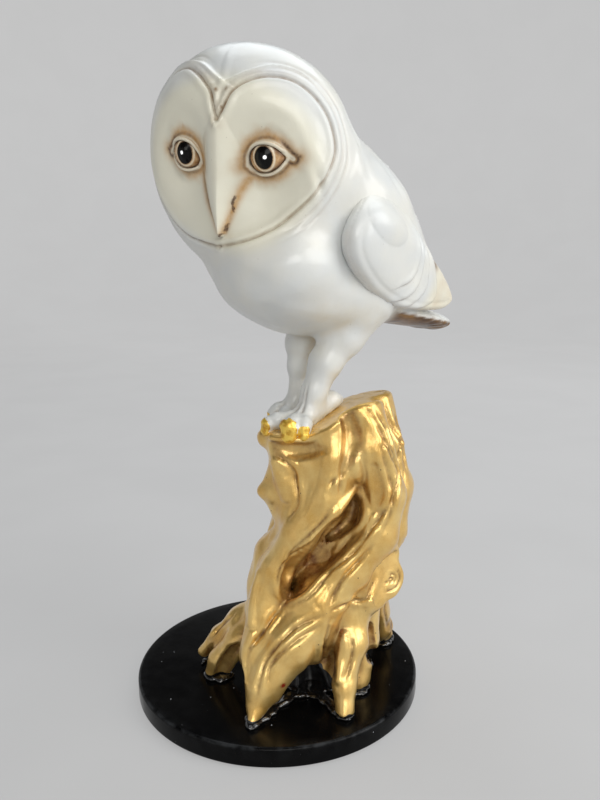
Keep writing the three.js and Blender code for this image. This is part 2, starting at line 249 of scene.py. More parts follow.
class Skin:
    """A mesh being worked on, in millimetres."""

    def __init__(self, name, points, faces):
        self.mesh = bpy.data.meshes.new(name)
        self.mesh.from_pydata(np.asarray(points).tolist(), [], np.asarray(faces).tolist())
        self.fields = {}

    def points(self):
        flat = np.empty(len(self.mesh.vertices) * 3)
        self.mesh.vertices.foreach_get("co", flat)
        return flat.reshape(-1, 3)

    def move(self, points):
        self.mesh.vertices.foreach_set("co", np.ascontiguousarray(points).ravel())
        self.mesh.update()

    def normals(self):
        flat = np.empty(len(self.mesh.vertices) * 3)
        self.mesh.vertex_normals.foreach_get("vector", flat)
        return flat.reshape(-1, 3)

    def settle(self, form, rounds=2):
        """Moves the points onto the form's surface."""
        for _ in range(rounds):
            p = self.points()
            self.move(p - self.normals() * np.clip(form(p), -1, 1)[:, None])

    def refine(self, choose):
        """Splits the edges whose two ends are both chosen."""
        picked = choose(self.points())
        work = bmesh.new()
        work.from_mesh(self.mesh)
        work.verts.ensure_lookup_table()
        edges = [e for e in work.edges if picked[e.verts[0].index] and picked[e.verts[1].index]]
        bmesh.ops.subdivide_edges(work, edges=edges, cuts=1, use_grid_fill=True)
        work.to_mesh(self.mesh)
        work.free()
        self.mesh.update()

    def relax(self, rounds=1, keep=0.5):
        edges = np.empty(len(self.mesh.edges) * 2, np.int64)
        self.mesh.edges.foreach_get("vertices", edges)
        edges = edges.reshape(-1, 2)
        for _ in range(rounds):
            p = self.points()
            total, count = np.zeros_like(p), np.zeros(len(p))
            for a, b in ((0, 1), (1, 0)):
                np.add.at(total, edges[:, a], p[edges[:, b]])
                np.add.at(count, edges[:, a], 1)
            self.move(keep * p + (1 - keep) * total / np.maximum(count, 1)[:, None])

    def finish(self, name, material, node):
        """Makes the mesh a piece of the scene that stands in for one of the frame's nodes."""
        for key, values in self.fields.items():
            layer = self.mesh.attributes.new(key, "FLOAT", "POINT")
            layer.data.foreach_set("value", np.ascontiguousarray(values, np.float32))
        self.move(self.points() * MM)
        self.mesh.materials.append(material)
        self.mesh.polygons.foreach_set("use_smooth", np.ones(len(self.mesh.polygons), bool))
        piece = bpy.data.objects.new(name, self.mesh)
        bpy.context.scene.collection.objects.link(piece)
        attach(piece, "root")
        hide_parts(node)
        return piece


def hollow(form, points, normals, reach):
    """How closed in a point is: 0 on an open face or ridge, towards 1 in a crevice."""
    return np.clip(1 - form(points + normals * reach) / reach, 0, 1)


def nearest(points, line):
    """Distance to a line of points, how far along it is, and the offset and its direction."""
    best = np.full(len(points), 1e9)
    share, offset, tangent = np.zeros(len(points)), np.zeros_like(points), np.zeros_like(points)
    steps = len(line) - 1
    for i in range(steps):
        run = line[i + 1] - line[i]
        square = run @ run
        if square < 1e-12:
            continue
        t = np.clip(((points - line[i]) @ run) / square, 0, 1)
        away = points - line[i] - t[:, None] * run
        d = length(away)
        closer = d < best
        best[closer] = d[closer]
        share[closer] = (i + t[closer]) / steps
        offset[closer] = away[closer]
        tangent[closer] = run / math.sqrt(square)
    return best, share, offset, tangent


# Seeded value noise on a grid, smooth between the grid's points.
NOISE = np.random.default_rng(7).uniform(-1, 1, (32, 32, 32))


def noise(points, scale, shift=0.0):
    q = points / scale + shift
    base = np.floor(q).astype(int)
    f = q - base
    f = f * f * (3 - 2 * f)
    total = 0.0
    for corner in CORNERS:
        weight = np.where(corner, f, 1 - f).prod(1)
        total = total + weight * NOISE[tuple(((base + corner) % 32).T)]
    return total


# ---- The owl's axes and forms ----

def head_axes():
    t, p, r = (math.radians(a) for a in (HEAD_TURN, HEAD_PITCH, HEAD_ROLL))
    out = np.array([math.cos(p) * math.sin(t), -math.cos(p) * math.cos(t), -math.sin(p)])
    side = np.array([math.cos(t), math.sin(t), 0.0])
    up = np.cross(out, side)
    left = side * math.cos(r) - up * math.sin(r)
    crown = up * math.cos(r) + side * math.sin(r)
    return np.stack([left, crown, out], 1)


HEAD = head_axes()


def on_head(u, v, w):
    return HEAD_AT + HEAD @ np.array([u, v, w], float)


def to_head(points):
    return (points - HEAD_AT) @ HEAD


def on_body(side, y, z):
    return np.array([OWL_PLANE + side, y, z], float)


def inside_loop(flat, loop):
    """Signed distance to a closed outline in a plane, negative inside."""
    closed = np.vstack([loop, loop[:1]])
    distance = nearest(flat, closed)[0]
    odd = np.zeros(len(flat), bool)
    for a, b in zip(closed[:-1], closed[1:]):
        spans = (a[1] > flat[:, 1]) != (b[1] > flat[:, 1])
        rise = np.where(spans, b[1] - a[1], 1)
        cross = a[0] + (flat[:, 1] - a[1]) * (b[0] - a[0]) / rise
        odd ^= spans & (flat[:, 0] < cross)
    return np.where(odd, -distance, distance)


def body_form(p):
    """Trunk, breast, rump and shoulders."""
    d = ellipsoid(p, on_body(0, 27.5, 226), [34.5, 62.5, 25.4], turn("x", -36))
    d = soft_min(d, ellipsoid(p, on_body(0, -4.5, 209.5), [34.5, 28, 26]), 14)
    d = soft_min(d, ellipsoid(p, on_body(0, 21.5, 196), [30, 35, 20.5]), 12)
    return soft_min(d, ellipsoid(p, on_body(0, 21, 244), [32, 47, 22.8], turn("x", -30)), 12)


def head_form(p):
    skull = ellipsoid(p, on_head(0.4, 1.2, -7.3), [45, 39.6, 27.2], HEAD)
    face = ellipsoid(p, on_head(0.7, -13, 2.2), [40.8, 41.2, 19.8], HEAD)
    return soft_min(skull, face, 8)


LEG_LEFT = [(9.6, 4.6, 142.5, 5.2), (10, 8.2, 152, 5.5), (10.8, 14.6, 166, 7.2), (12, 22, 178, 10.3),
            (13, 31, 192, 15)]
LEG_RIGHT = [(-11, 10, 142, 4), (-11, 13, 150, 4.2), (-11, 13.3, 161.5, 5),
             (-11, 16, 173, 8.5), (-12, 22, 188, 13)]
# The toes of each foot: degrees outwards from straight ahead, reach, and size of the claw.
TOES_LEFT = [(-21, 17.2, 3.9), (25, 13.6, 4.7), (51, 11.6, 2.7)]
TOES_RIGHT = [(-48, 9.0, 2.3), (-10, 10.0, 2.4), (30, 9.0, 2.3)]
FEET = [(LEG_LEFT, TOES_LEFT), (LEG_RIGHT, TOES_RIGHT)]


def top_height(x, y):
    """Height of the stump's sloping top, where the feet stand."""
    return stump_top((np.array([[x, y, 0.0]]) @ STUMP))[0]


def placed(stops):
    return [(*on_body(*stop[:3]), stop[3]) for stop in stops]


# Along a toe: share of its reach, height above the stump, width.
KNUCKLES = [(-0.2, 9.0, 0.9), (0.2, 6.6, 0.95), (0.5, 4.8, 0.95), (0.8, 4.0, 1.08), (1.0, 3.0, 1.0)]
HEEL = [(0, 5.5, 4.8), (6, 5.4, 4.4), (11, 5.2, 4.0), (16, 5.0, 3.8), (20, 3.6, 2.8)]


def ahead(foot, angle, reach):
    """A point in front of a foot, the angle turned outwards from straight ahead."""
    a = math.radians(angle)
    return foot[0] + reach * math.sin(a), foot[1] - reach * math.cos(a)


def toe_line(foot, toe):
    angle, reach, claw = toe
    stops = []
    for share, rise, wide in KNUCKLES:
        x, y = ahead(foot, angle, reach * share)
        stops.append((x, y, top_height(x, y) + rise, wide * (1.9 + 0.42 * claw)))
    return stops


def claw_stops(foot, toe):
    angle, reach, claw = toe
    root, tip = ahead(foot, angle, reach + 0.4), ahead(foot, angle, reach + 1.4)
    z = top_height(*root)
    return [(*root, z + 0.62 * claw, claw), (*tip, z - 0.4, claw * 0.8)]


def feet_form(p):
    total = None
    for leg, toes in FEET:
        foot = placed(leg)[0]
        heel = []
        for back, rise, wide in HEEL:
            x, y = foot[0] - 0.2 * back, foot[1] + back
            heel.append((x, y, top_height(x, y) + rise, wide))
        foot_form = soft_min(limb(p, placed(leg), 3), limb(p, heel, 2), 4)
        for toe in toes:
            whole_toe = soft_min(limb(p, toe_line(foot, toe), 1.5), limb(p, claw_stops(foot, toe)), 0.5)
            foot_form = soft_min(foot_form, whole_toe, 1.3)
        total = foot_form if total is None else np.minimum(total, foot_form)
    return total


TAIL_AT, TAIL_TILT = on_body(0, 65.5, 183.6), -11


def tail_form(p):
    return ellipsoid(p, TAIL_AT, [17, 31, 5.6], turn("x", TAIL_TILT))


# The opening between the lids: side and up from the middle of the eye, inner corner first.
ALMOND = smooth_loop([(-6.9, -4.2), (-6.3, -0.4), (-3.7, 2.6), (0.4, 3.9), (4.3, 3.1), (7.0, 1.0),
                      (8.7, -1.1), (7.4, -3.2), (5.2, -5.1), (2.0, -6.6), (-2.0, -7.1),
                      (-5.3, -6.1)], 6)
UPPER_LID = [(-7.5, -4.9), (-6.9, -0.6), (-4.1, 3.2), (0.4, 4.7), (4.7, 3.9), (7.8, 1.6),
             (9.9, -0.6), (11.4, -1.6)]
LOWER_LID = [(-7.5, -4.7), (-5.8, -6.7), (-2.1, -7.9), (2.6, -7.4), (6.2, -5.5), (8.3, -3.2),
             (9.4, -1.8)]
EYE_BALL, BALL_RADIUS = np.array([0.6, -1.3, -0.8]), 8.8
PUPIL = np.array([0.7, -0.9])
EYE_FLOOR = 1.4
FAR_SQUEEZE = (0.72, 0.86)  # the far eye is narrower, on its outer and its inner side


def to_eye(points, side):
    """Coordinates from the middle of an eyeball: outwards from the beak, up, and out of the face."""
    local = to_head(points) - np.array([side * EYE_SIDE, EYE_UP, EYE_OUT])
    local[:, 0] *= side
    if side < 0:
        local[:, 0] /= np.where(local[:, 0] > 0, *FAR_SQUEEZE)
    return local


def lid_stops(line, radius):
    """A lid laid over the ball, thinner past the outer corner."""
    stops = []
    for x, y in smooth_line(line, 4):
        beside = (x - EYE_BALL[0]) ** 2 + (y - EYE_BALL[1]) ** 2
        lift = math.sqrt(max((BALL_RADIUS + 0.35) ** 2 - beside, 3.4**2)) + EYE_BALL[2]
        taper = 1 - 0.7 * min(max((x - 7.5) / 3.6, 0.0), 1.0)
        stops.append((x, y, lift, radius * taper))
    return stops


def lids_form(q):
    upper = limb(q, lid_stops(UPPER_LID, 0.85))
    lower = limb(q, lid_stops(LOWER_LID, 0.66))
    return np.minimum(upper, lower)


def near_eyes(p, middle=0.0):
    """Distance to the nearer of the two eyes."""
    return np.minimum(length(to_eye(p, 1) - middle), length(to_eye(p, -1) - middle))


def socket_form(q, grow=0.0):
    across = inside_loop(q[:, :2], ALMOND) - grow
    return np.maximum(across, EYE_FLOOR - grow - q[:, 2])


def owl_form(p):
    whole = soft_min(body_form(p), head_form(p), 9)
    for side in (-1, 1):
        dish = ellipsoid(p, on_head(side * 20, -1, 47), [26, 33, 34], HEAD)
        whole = soft_max(whole, -dish, 9)
    whole = soft_min(whole, tail_form(p), 5)
    whole = soft_min(whole, feet_form(p), 4)
    for side in (-1, 1):
        near = length(p - on_head(side * EYE_SIDE, EYE_UP, EYE_OUT)) < 19
        if not near.any():
            continue
        q = to_eye(p[near], side)
        mound = length((q - np.array([1.2, -1.4, -1.6])) / [1.12, 1.0, 1.0]) - 8.5
        part = soft_min(whole[near], mound, 3.0)
        part = soft_min(part, lids_form(q), 0.35)
        whole[near] = soft_max(part, -socket_form(q), 0.2)
    return whole


# ---- Relief on the owl ----

# The groove round the face in head axes, from the chin over cheek and brow into the notch.
NEAR_EDGE = [(-2, -34.5, 22), (10, -31, 24), (20, -26.5, 21), (29, -20, 17), (36, -13.5, 13),
             (41, -5, 7.5), (42.5, 3, 3), (40.5, 13, 2), (35, 21.5, 2.5), (27, 28, 4.5),
             (18, 30.2, 8), (10, 28.5, 11.5), (5, 25.5, 14.5), (2.4, 20.5, 17.5), (0.2, 16, 19)]
FAR_EDGE = [(-2, -34.5, 22), (-11, -35, 18.5), (-20, -33.5, 15.5), (-28, -28.5, 14),
            (-36, -19, 11.5), (-41, -8, 8), (-42.5, 3, 4), (-40.5, 14, 2.5), (-35, 23, 2.5),
            (-28, 30, 2.5), (-20, 32.5, 4.5), (-13, 31, 8.5), (-7.5, 28, 12.5), (-4, 25, 15),
            (-2.2, 20.5, 17.5), (-0.4, 16, 19)]
NEAR_BROW = [(43, 14, -1), (38, 24, -0.5), (31, 30.5, 0), (24, 33.3, 2), (17, 33.8, 4.5),
             (10, 32.4, 8.5), (4.5, 30.6, 11), (0, 29.4, 12)]
FAR_BROW = [(-43, 16, -1), (-38, 25, -1), (-32, 32, -1), (-25, 35, 0), (-17, 35.4, 3), (-11, 34.4, 6),
            (-5.5, 32, 9.5), (0, 29.4, 12)]
HOOD = [(41, 20, -10), (43.5, 13, -10), (46, 5, -12), (47.5, -2, -10.5), (48, -9, -5), (46, -16, 1)]


def laid(line):
    """The line in head axes, smoothed and drawn onto the owl's skin."""
    points = HEAD_AT + smooth_line(line, 6) @ HEAD.T
    step = 0.1 * np.eye(3)
    for _ in range(4):
        slope = np.stack([owl_form(points + s) - owl_form(points - s) for s in step], 1)
        slope /= np.maximum(length(slope), 1e-6)[:, None]
        points = points - slope * owl_form(points)[:, None]
    return to_head(points)


def face_lines():
    edges = [(laid(NEAR_EDGE), 1), (laid(FAR_EDGE), -1)]
    return edges, [(laid(NEAR_BROW), 1), (laid(FAR_BROW), -1)]


def beak_half_width(u, v):
    stops = [-29.5, -28, -25, -22, -17, -11, -5, 1, 8, 14, 18]
    near = np.interp(v, stops, [0.4, 1.4, 2.4, 3.0, 3.8, 5.4, 8.0, 8.8, 7.0, 4.2, 2.4])
    far = np.interp(v, stops, [0.4, 1.9, 3.4, 4.6, 6.6, 8.8, 10.6, 10.8, 8.6, 5.0, 2.4])
    return np.where(u > 0, near, far)


def beak_height(v):
    return np.interp(v, [-30.2, -29.0, -27, -20, -12, -4, 4, 12, 17],
                     [0.0, 4.4, 5.4, 5.0, 4.8, 4.2, 3.2, 1.8, 0.4])


def face_relief(q):
    """How far the face stands out along the head's own axis."""
    u, v = q[:, 0], q[:, 1]
    width = beak_half_width(u, v)
    part = np.clip(1 - np.abs(u) / width, 0, 1)
    lift = beak_height(v) * (1 - (1 - part) ** np.where(u > 0, 1.15, 1.9))
    bowl = np.zeros(len(q))
    for side in (-1, 1):
        across = ((u - side * 21) / 19) ** 2 + ((v + 2) / 27) ** 2
        bowl = bowl - 1.6 * np.clip(1 - across, 0, 1) ** 2
    return lift * (v > -30.2) + bowl * ramp(np.abs(u) - width, 0, 4)


def beside(q, line, side):
    """Signed and plain distance to a line on the head, positive outside it, and the share along it."""
    d, share, offset, tangent = nearest(q, line)
    outward = np.cross(tangent, offset)[:, 2] * -side
    return np.where(outward > 0, d, -d), d, share


def face_grooves(q, n, edges):
    """The groove round the face between its two lips, with two fine lines outside it."""
    rise, wash = np.zeros(len(q)), np.zeros(len(q))
    for line, side in edges:
        s, d, share = beside(q, line, side)
        near = ramp(n @ HEAD[:, 2], -0.55, -0.25) * ramp(q[:, 2], -12, -6) * (d < 16)
        depth = 0.85 + 0.5 * ramp(share, 0.75, 1.0)
        rise += near * (-depth * bell(s, 0.6) + 0.55 * bell(s + 2.0, 1.5) + 0.45 * bell(s - 1.9, 1.0))
        fine = near * ramp(share, 0.12, 0.3) * (1 - ramp(share, 0.62, 0.78))
        rise += fine * (-0.6 * bell(s - 4.2, 0.6) - 0.5 * bell(s - 7.2, 0.6))
        wash = np.maximum(wash, fine * 0.2 * (bell(s - 4.2, 0.6) + bell(s - 7.2, 0.6)))
        wash = np.maximum(wash, near * bell(s, 0.65) * (0.6 + 0.35 * ramp(share, 0.6, 0.95)))
        wash = np.maximum(wash, near * 0.30 * bell(s - 1.2, 2.4) * ramp(share, 0.55, 0.8))
    return rise, wash


def brow_steps(q, n, brows):
    """The step down from the crown along each brow."""
    rise = np.zeros(len(q))
    for line, side in brows:
        s, d, share = beside(q, line, side)
        fade = ramp(share, 0.1, 0.4) * (d < 14) * ramp(n @ HEAD[:, 1], -0.2, 0.3)
        rise += fade * (0.75 * bell(s + 0.6, 0.9) - 0.8 * ramp(s, -0.2, 0.7) * bell(s, 5.0))
    return rise


# The hollow where the brows part above the beak, and the brown specks in it with their sizes.
PARTING = [(0.8, 25.5, 14), (0, 21, 17), (-0.1, 17.5, 19)]
SPECKS = [((-1.6, 26.0, 14.5), 0.8), ((2.6, 26.2, 14), 0.8), ((1.6, 20.2, 17.5), 0.7),
          ((-0.3, 16.4, 19), 0.9), ((-1.4, 20.5, 17.5), 0.5)]


def parting(q):
    floor = nearest(q, np.array(PARTING, float))[0]
    in_front = q[:, 2] > 4
    wash = 0.42 * bell(floor, 1.6) * in_front
    for spot, size in SPECKS:
        wash = np.maximum(wash, bell(length(q - np.array(spot)), size * 1.3))
    return -0.9 * bell(floor, 1.5) * in_front, wash


def hood_fold(q):
    d, share, _, _ = nearest(q, smooth_line(HOOD, 6))
    fade = np.sin(np.pi * np.clip(share, 0.01, 0.99)) ** 0.5
    return fade * (-0.7 * bell(d, 0.7) + 0.3 * bell(d - 2.2, 1.2))


def owl_relief(p, n, lines):
    """The face pushed out along the head's axis, the rise along each normal, and the brown wash."""
    q = to_head(p)
    edges, brows = lines
    front = ramp(n @ HEAD[:, 2], -0.05, 0.35) * ramp(-length(q[:, :2] / [52, 46]), -1.05, -0.9)
    front = front * ramp(q[:, 2], -12, -6)
    beak = ramp(-np.abs(q[:, 0]), -9.5, -6.5)
    out = face_relief(q) * front * np.maximum(ramp(near_eyes(p), 11.5, 16), beak)
    groove_rise, groove_wash = face_grooves(q, n, edges)
    part_rise, part_wash = parting(q)
    rise = groove_rise + brow_steps(q, n, brows) + part_rise + hood_fold(q)
    return out[:, None] * HEAD[:, 2], rise, np.maximum(groove_wash, part_wash)


def soft_folds(p):
    """Broad dimples of the breast and the back, and the long folds of the mantle."""
    broad = 0.8 * noise(p, 15.0, 3.1) + 0.35 * noise(p, 7.0, 9.7)
    head = ramp(length(to_head(p)), 44, 56)
    rise = broad * (0.15 + 0.85 * head)
    folds = [
        [(34, -14, 262), (38, -6, 246), (40, -2, 230)],
        [(30, 16, 262), (36, 18, 250), (37, 22, 240)],
        [(28, 30, 256), (34, 36, 244), (36, 44, 232)],
    ]
    for fold in folds:
        for side in (-1, 1):
            line = smooth_line([(OWL_PLANE + side * (x - 4), y, z) for x, y, z in fold], 6)
            d, share, _, _ = nearest(p, line)
            fade = np.sin(np.pi * np.clip(share, 0, 1)) ** 0.5
            rise += fade * (-0.55 * bell(d, 1.3) + 0.3 * bell(d - 3.2, 1.8))
    return rise


def back_feathers(p):
    """Rows of shallow overlapping scallops over the back and the nape."""
    side = (p[:, 0] - OWL_PLANE) / 9.0
    along = (p[:, 1] * 0.8 - (p[:, 2] - 226) * 0.6) / 11.0
    row = np.floor(along)
    part = along - row
    shifted = side + 0.5 * (row % 2)
    across = shifted - np.floor(shifted) - 0.5
    arc = part - 0.75 * (1 - 3.2 * across**2)
    region = ramp(p[:, 1], 14, 30) * ramp(p[:, 2], 196, 206) * ramp(-np.abs(side * 9), -24, -17)
    lip = 0.45 * bell(arc, 0.13) * (arc < 0)
    step = 0.5 * np.clip(1 - arc / 0.35, 0, 1) * (arc >= 0)
    return region * (lip - step)


def to_tail(points):
    return (points - TAIL_AT) @ turn("x", TAIL_TILT)


def tail_relief(p):
    """The grooves between the tail's vanes, and the wash in them."""
    q = to_tail(p)
    near = (np.abs(q[:, 0]) < 18) * ramp(q[:, 1], 4, 10) * (np.abs(q[:, 2]) < 8)
    vanes = q[:, 0] * (1 + 0.012 * (33 - q[:, 1]))
    groove = np.abs((vanes / 5.0) - np.round(vanes / 5.0)) * 5.0
    return near * (-0.8 * bell(groove, 0.6)), near * bell(groove, 0.8)


# The crease between two toes, from the shin down: outwards, back, forwards and up.
TOE_CREASE = [(3.6, 1.5, 2.0, 18), (4.2, 0, 3.6, 9), (6.5, 0, 6.5, 2), (13, 0, 13, -5)]


def leg_relief(p):
    """Creases between the toes that run up the front of each leg, and the folds of the thighs."""
    rise, wash = np.zeros(len(p)), np.zeros(len(p))
    for leg, toes in FEET:
        x, y, z = placed(leg)[0][:3]
        for first, second in zip(toes[:-1], toes[1:]):
            angle = math.radians((first[0] + second[0]) / 2)
            s, c = math.sin(angle), math.cos(angle)
            line = smooth_line([(x + wide * s, y + back - out * c, z + up)
                                for wide, back, out, up in TOE_CREASE], 6)
            d, share, _, _ = nearest(p, line)
            rise += -1.0 * bell(d, 0.9) * ramp(share, 0.0, 0.3)
            wash = np.maximum(wash, 0.9 * bell(d, 0.8) * ramp(share, 0.15, 0.4))
        for bend in (-1, 1):
            line = smooth_line([(x + bend * 3.6, y + 2.5, z + 8), (x + bend * 4.6, y + 5, z + 20),
                                (x + bend * 7, y + 9, z + 34)], 6)
            rise += -0.5 * bell(nearest(p, line)[0], 1.1)
    return rise, wash


def eye_shades(flat, blotch):
    """Round one eye: brown in the creases, and tan up to a peak above it and past the corner."""
    x, y = flat[:, 0], flat[:, 1]
    upper = nearest(flat, smooth_line(UPPER_LID, 4))[0] - 0.15
    lower = nearest(flat, smooth_line(LOWER_LID, 4))[0]
    ridge = np.minimum(upper, lower)
    opening = inside_loop(flat, ALMOND)
    outside = opening > 0
    above = y - 4.6 + 0.06 * (x - 0.6) ** 2
    reach = 6.2 * np.clip(1 - np.abs(x - 0.9) / 8.5, 0, 1) + 0.8 * blotch
    peak = ramp(reach - above, -0.9, 1.8) * (1 - 0.4 * np.clip(above / 6, 0, 1))
    peak = peak * (above > -1) * ramp(-np.abs(x - 0.9), -9, -6.5)
    corner = nearest(flat, np.array([[11.0, -1.3], [14.0, -0.9]]))[0]
    crease = outside * bell(ridge - 1.4, 0.6) * (0.5 + 0.3 * blotch)
    shadow = outside * bell(upper - 1.7, 0.9) * ramp(x, 4, 9)
    dark = np.maximum(crease, shadow)
    dark = np.maximum(dark, 0.95 * bell(corner, 0.8) * outside)
    dark = np.maximum(dark, 0.7 * bell(opening, 0.5))
    halo = bell(np.maximum(ridge - 1.4, 0), 2.9 + 0.8 * blotch)
    halo = np.maximum(halo, 0.95 * peak)
    halo = np.maximum(halo, 0.9 * bell(corner, 3.2))
    below = ramp(x, 3, 8) * ramp(-y, 1, 4) * bell(np.maximum(ridge - 1.2, 0), 3.2)
    halo = np.maximum(halo, below)
    cover = ramp(ridge, 0.35, 1.1) * 0.75 + 0.25
    return dark * np.maximum(cover, bell(opening, 0.35)), halo * cover * outside


def eye_paint(p):
    brown, tan = np.zeros(len(p)), np.zeros(len(p))
    for side in (-1, 1):
        q = to_eye(p, side)
        near = np.where((length(q) < 26) & (q[:, 2] > -5))[0]
        dark, halo = eye_shades(q[near, :2], noise(p[near], 2.6, 5.5))
        brown[near] = np.maximum(brown[near], dark)
        tan[near] = np.maximum(tan[near], halo)
    return brown, tan


def beak_paint(q):
    """The stain down the near side of the beak and the chips where its edge is worn."""
    flat = q[:, :2]
    tear, share, _, _ = nearest(flat, smooth_line([(11.5, -6.0), (8.4, -10), (6.0, -15), (4.6, -19),
                                                   (2.6, -24), (1.0, -28)], 6))
    tan = bell(tear, 2.5 - 1.5 * share)
    far, share, _, _ = nearest(flat, smooth_line([(-10.6, -4), (-9.4, -10), (-7.6, -15), (-4.8, -21),
                                                  (-2.2, -28)], 6))
    brown = 0.95 * bell(far, 0.9) * (0.3 + 0.7 * share)
    tan = np.maximum(tan, 0.9 * bell(far, 2.0))
    chips = [((5.2, -14.0), (4.4, -16.5)), ((4.4, -16.5), (5.0, -19.5)), ((2.5, -24.4), (1.6, -27.0)),
             ((-2.6, -27.2), (-1.5, -29.0)), ((0.3, -28.2), (-0.4, -29.4))]
    for ends in chips:
        d = nearest(flat, np.array(ends, float))[0]
        brown = np.maximum(brown, 1 - ramp(d + 0.5 * noise(q, 0.9, 2.2), 0.3, 0.7))
    return tan, brown


def claw_paint(p):
    """Gold on the tip of every toe, with a ragged edge."""
    gold = np.zeros(len(p))
    for leg, toes in FEET:
        for toe in toes:
            (x, y, z, claw), _ = claw_stops(placed(leg)[0], toe)
            ends = [(*ahead((x, y), toe[0], 2.2), z - 0.2, claw),
                    (*ahead((x, y), toe[0], 3.4), z - claw, claw)]
            d = limb(p, ends) + 0.6 * noise(p, 1.6, 4.4)
            gold = np.maximum(gold, 1 - ramp(d, -0.1, 0.3))
    return gold


def tail_underside(p):
    q = to_tail(p)
    on_tail = ramp(q[:, 1], -22, -12) * (q[:, 2] > -9) * (p[:, 1] > 46)
    return ramp(-q[:, 2], -0.9, 0.1) * on_tail


def face_or_feet(p):
    q = to_head(p)
    on_face = (q[:, 2] > -8) & (length(q[:, :2] / [50, 44]) < 1)
    return on_face | (p[:, 2] < 160)


def finest_part(p, edges):
    """Where the mesh is split once more: eyes, beak, the grooves round the face, and claws."""
    q = to_head(p)
    eyes = near_eyes(p, EYE_BALL) < 14.5
    beak = (np.abs(q[:, 0]) < 5.5) & (q[:, 1] < -8) & (q[:, 1] > -32) & (q[:, 2] > 12)
    near_edge = np.zeros(len(p), bool)
    for line, _ in edges:
        near_edge |= nearest(q, line)[0] < 1.7
    claws = (p[:, 2] < 144) & (p[:, 1] < 2)
    return eyes | beak | (near_edge & (q[:, 2] > -6)) | claws


def owl_body(material):
    skin = Skin("owl_body", *polygonise(owl_form, *OWL_BOX, cell("owl")))
    skin.settle(owl_form, 2)
    lines = face_lines()
    skin.refine(face_or_feet)
    skin.settle(owl_form, 2)
    skin.refine(lambda p: finest_part(p, lines[0]))
    skin.settle(owl_form, 3)
    p, n = skin.points(), skin.normals()
    shift, rise, wash = owl_relief(p, n, lines)
    vane_rise, vane_wash = tail_relief(p)
    leg_rise, leg_wash = leg_relief(p)
    calm = ramp(near_eyes(p), 9.5, 13)
    rise = rise + calm * soft_folds(p) + back_feathers(p) + vane_rise + leg_rise
    feet_skin = ramp(-p[:, 2], -150, -142)
    rise = rise + 0.25 * feet_skin * noise(p, 2.2, 1.3)
    # How closed in each point is; it drives the glaze's painted shade in crevices.
    closed_in = hollow(owl_form, p, n, 5.0)
    skin.move(p + shift + rise[:, None] * n)
    q = to_head(p)
    brown, tan = eye_paint(p)
    beak_tan, beak_brown = beak_paint(q)
    in_face = q[:, 2] > 8
    # Painted shade: surfaces facing down, low on the trunk, get a darker warm tone.
    below = ramp(-n[:, 2], 0.0, 0.8) * ramp(p[:, 1], -20, 20) * (p[:, 2] < 215) * (p[:, 2] > 150)
    disc = ramp(-length((q[:, :2] - [0, -2]) / [43, 35]), -1.05, -0.85) * ramp(q[:, 2], -4, 4)
    fields = {
        "crease": np.maximum(wash, 0.5 * leg_wash) + 0.25 * vane_wash,
        "brown": np.maximum(brown, beak_brown * in_face),
        "tan": np.maximum(tan, beak_tan * in_face),
        "under_tail": tail_underside(p),
        "claw": claw_paint(p),
        "closed_in": closed_in,
        "below": below,
        "disc": disc,
    }
    skin.fields = {key: np.clip(values, 0, 1) for key, values in fields.items()}
    return skin.finish("owl", material, "owl_body")


# ---- Eyes ----

def eyeball(side, name, node, material):
    def form(p):
        q = to_eye(p, side)
        ball = length(q - EYE_BALL) - BALL_RADIUS
        iris = length((q - np.array([PUPIL[0] * side, PUPIL[1], 4.9])) / [1.0, 1.13, 1.0]) - 3.75
        whole = soft_min(ball, iris, 0.5)
        return soft_max(whole, socket_form(q, -0.12), 0.2)

    centre = on_head(side * EYE_SIDE, EYE_UP, EYE_OUT)
    skin = Skin(name, *polygonise(form, centre - EYE_HALF, centre + EYE_HALF, cell("eye")))
    skin.settle(form, 2)
    q = to_eye(skin.points(), side)
    ring = length((q[:, :2] - PUPIL * [side, 1]) / [1.0, 1.13])
    light = length(q[:, :2] - PUPIL * [side, 1] - np.array([0.7 + 0.4 * side, 0.6]))
    skin.fields = {
        "pupil": 1 - ramp(ring, 3.8, 4.05),
        "ring": bell(ring - 4.5, 0.35),
        "glint": (1 - ramp(light, 0.5, 0.8)) * (q[:, 2] > 0),
        "rim": bell(inside_loop(q[:, :2], ALMOND), 1.1),
    }
    return skin.finish(name, material, node)


# ---- Wings ----

WING_AT, WING_TILT, WING_TOE = np.array([28.2, 41.2, 211.3]), -24, 14
# The wing's outline, towards the tip and up, and the feather edges laid over it.
WING_EDGE = smooth_loop([(-24, 22), (-30, 17.5), (-34.5, 11), (-37, 3), (-36.6, -4.5), (-33, -10.5),
                         (-26, -15), (-17, -18), (-8, -19.6), (4, -19.6), (16, -17.8), (28, -14.2),
                         (39, -9.8), (46.0, -6.0), (49.5, -0.6), (43, 4), (33, 7.6), (22, 11.6),
                         (9, 17.2), (-5, 22.5), (-16, 24.2)], 5)
WING_LEAN = 0.5
LAYERS = [
    [(-12, 25), (-4, 18), (3, 10), (6.6, 0), (5.2, -7), (0, -12)],
    [(-5, 24), (4, 16), (10, 5), (12.2, -6), (9, -14), (2, -19)],
    [(1, 22), (10, 13), (16.5, 3), (19.5, -6), (16, -15), (8, -20)],
    [(10, 20), (18, 11), (25.5, 1.5), (30, -5), (28, -11), (18, -17.5)],
]


def to_wing(points, side):
    """Coordinates of a wing: outwards from the body, towards the tip, and up."""
    local = points - np.array([OWL_PLANE, 0, 0])
    local = local * np.array([side, 1, 1]) - WING_AT
    q = local @ turn("x", WING_TILT) @ turn("z", WING_TOE)
    q[:, 0] += WING_LEAN * 12 * ramp(q[:, 2], 4, 24) ** 1.3
    return q


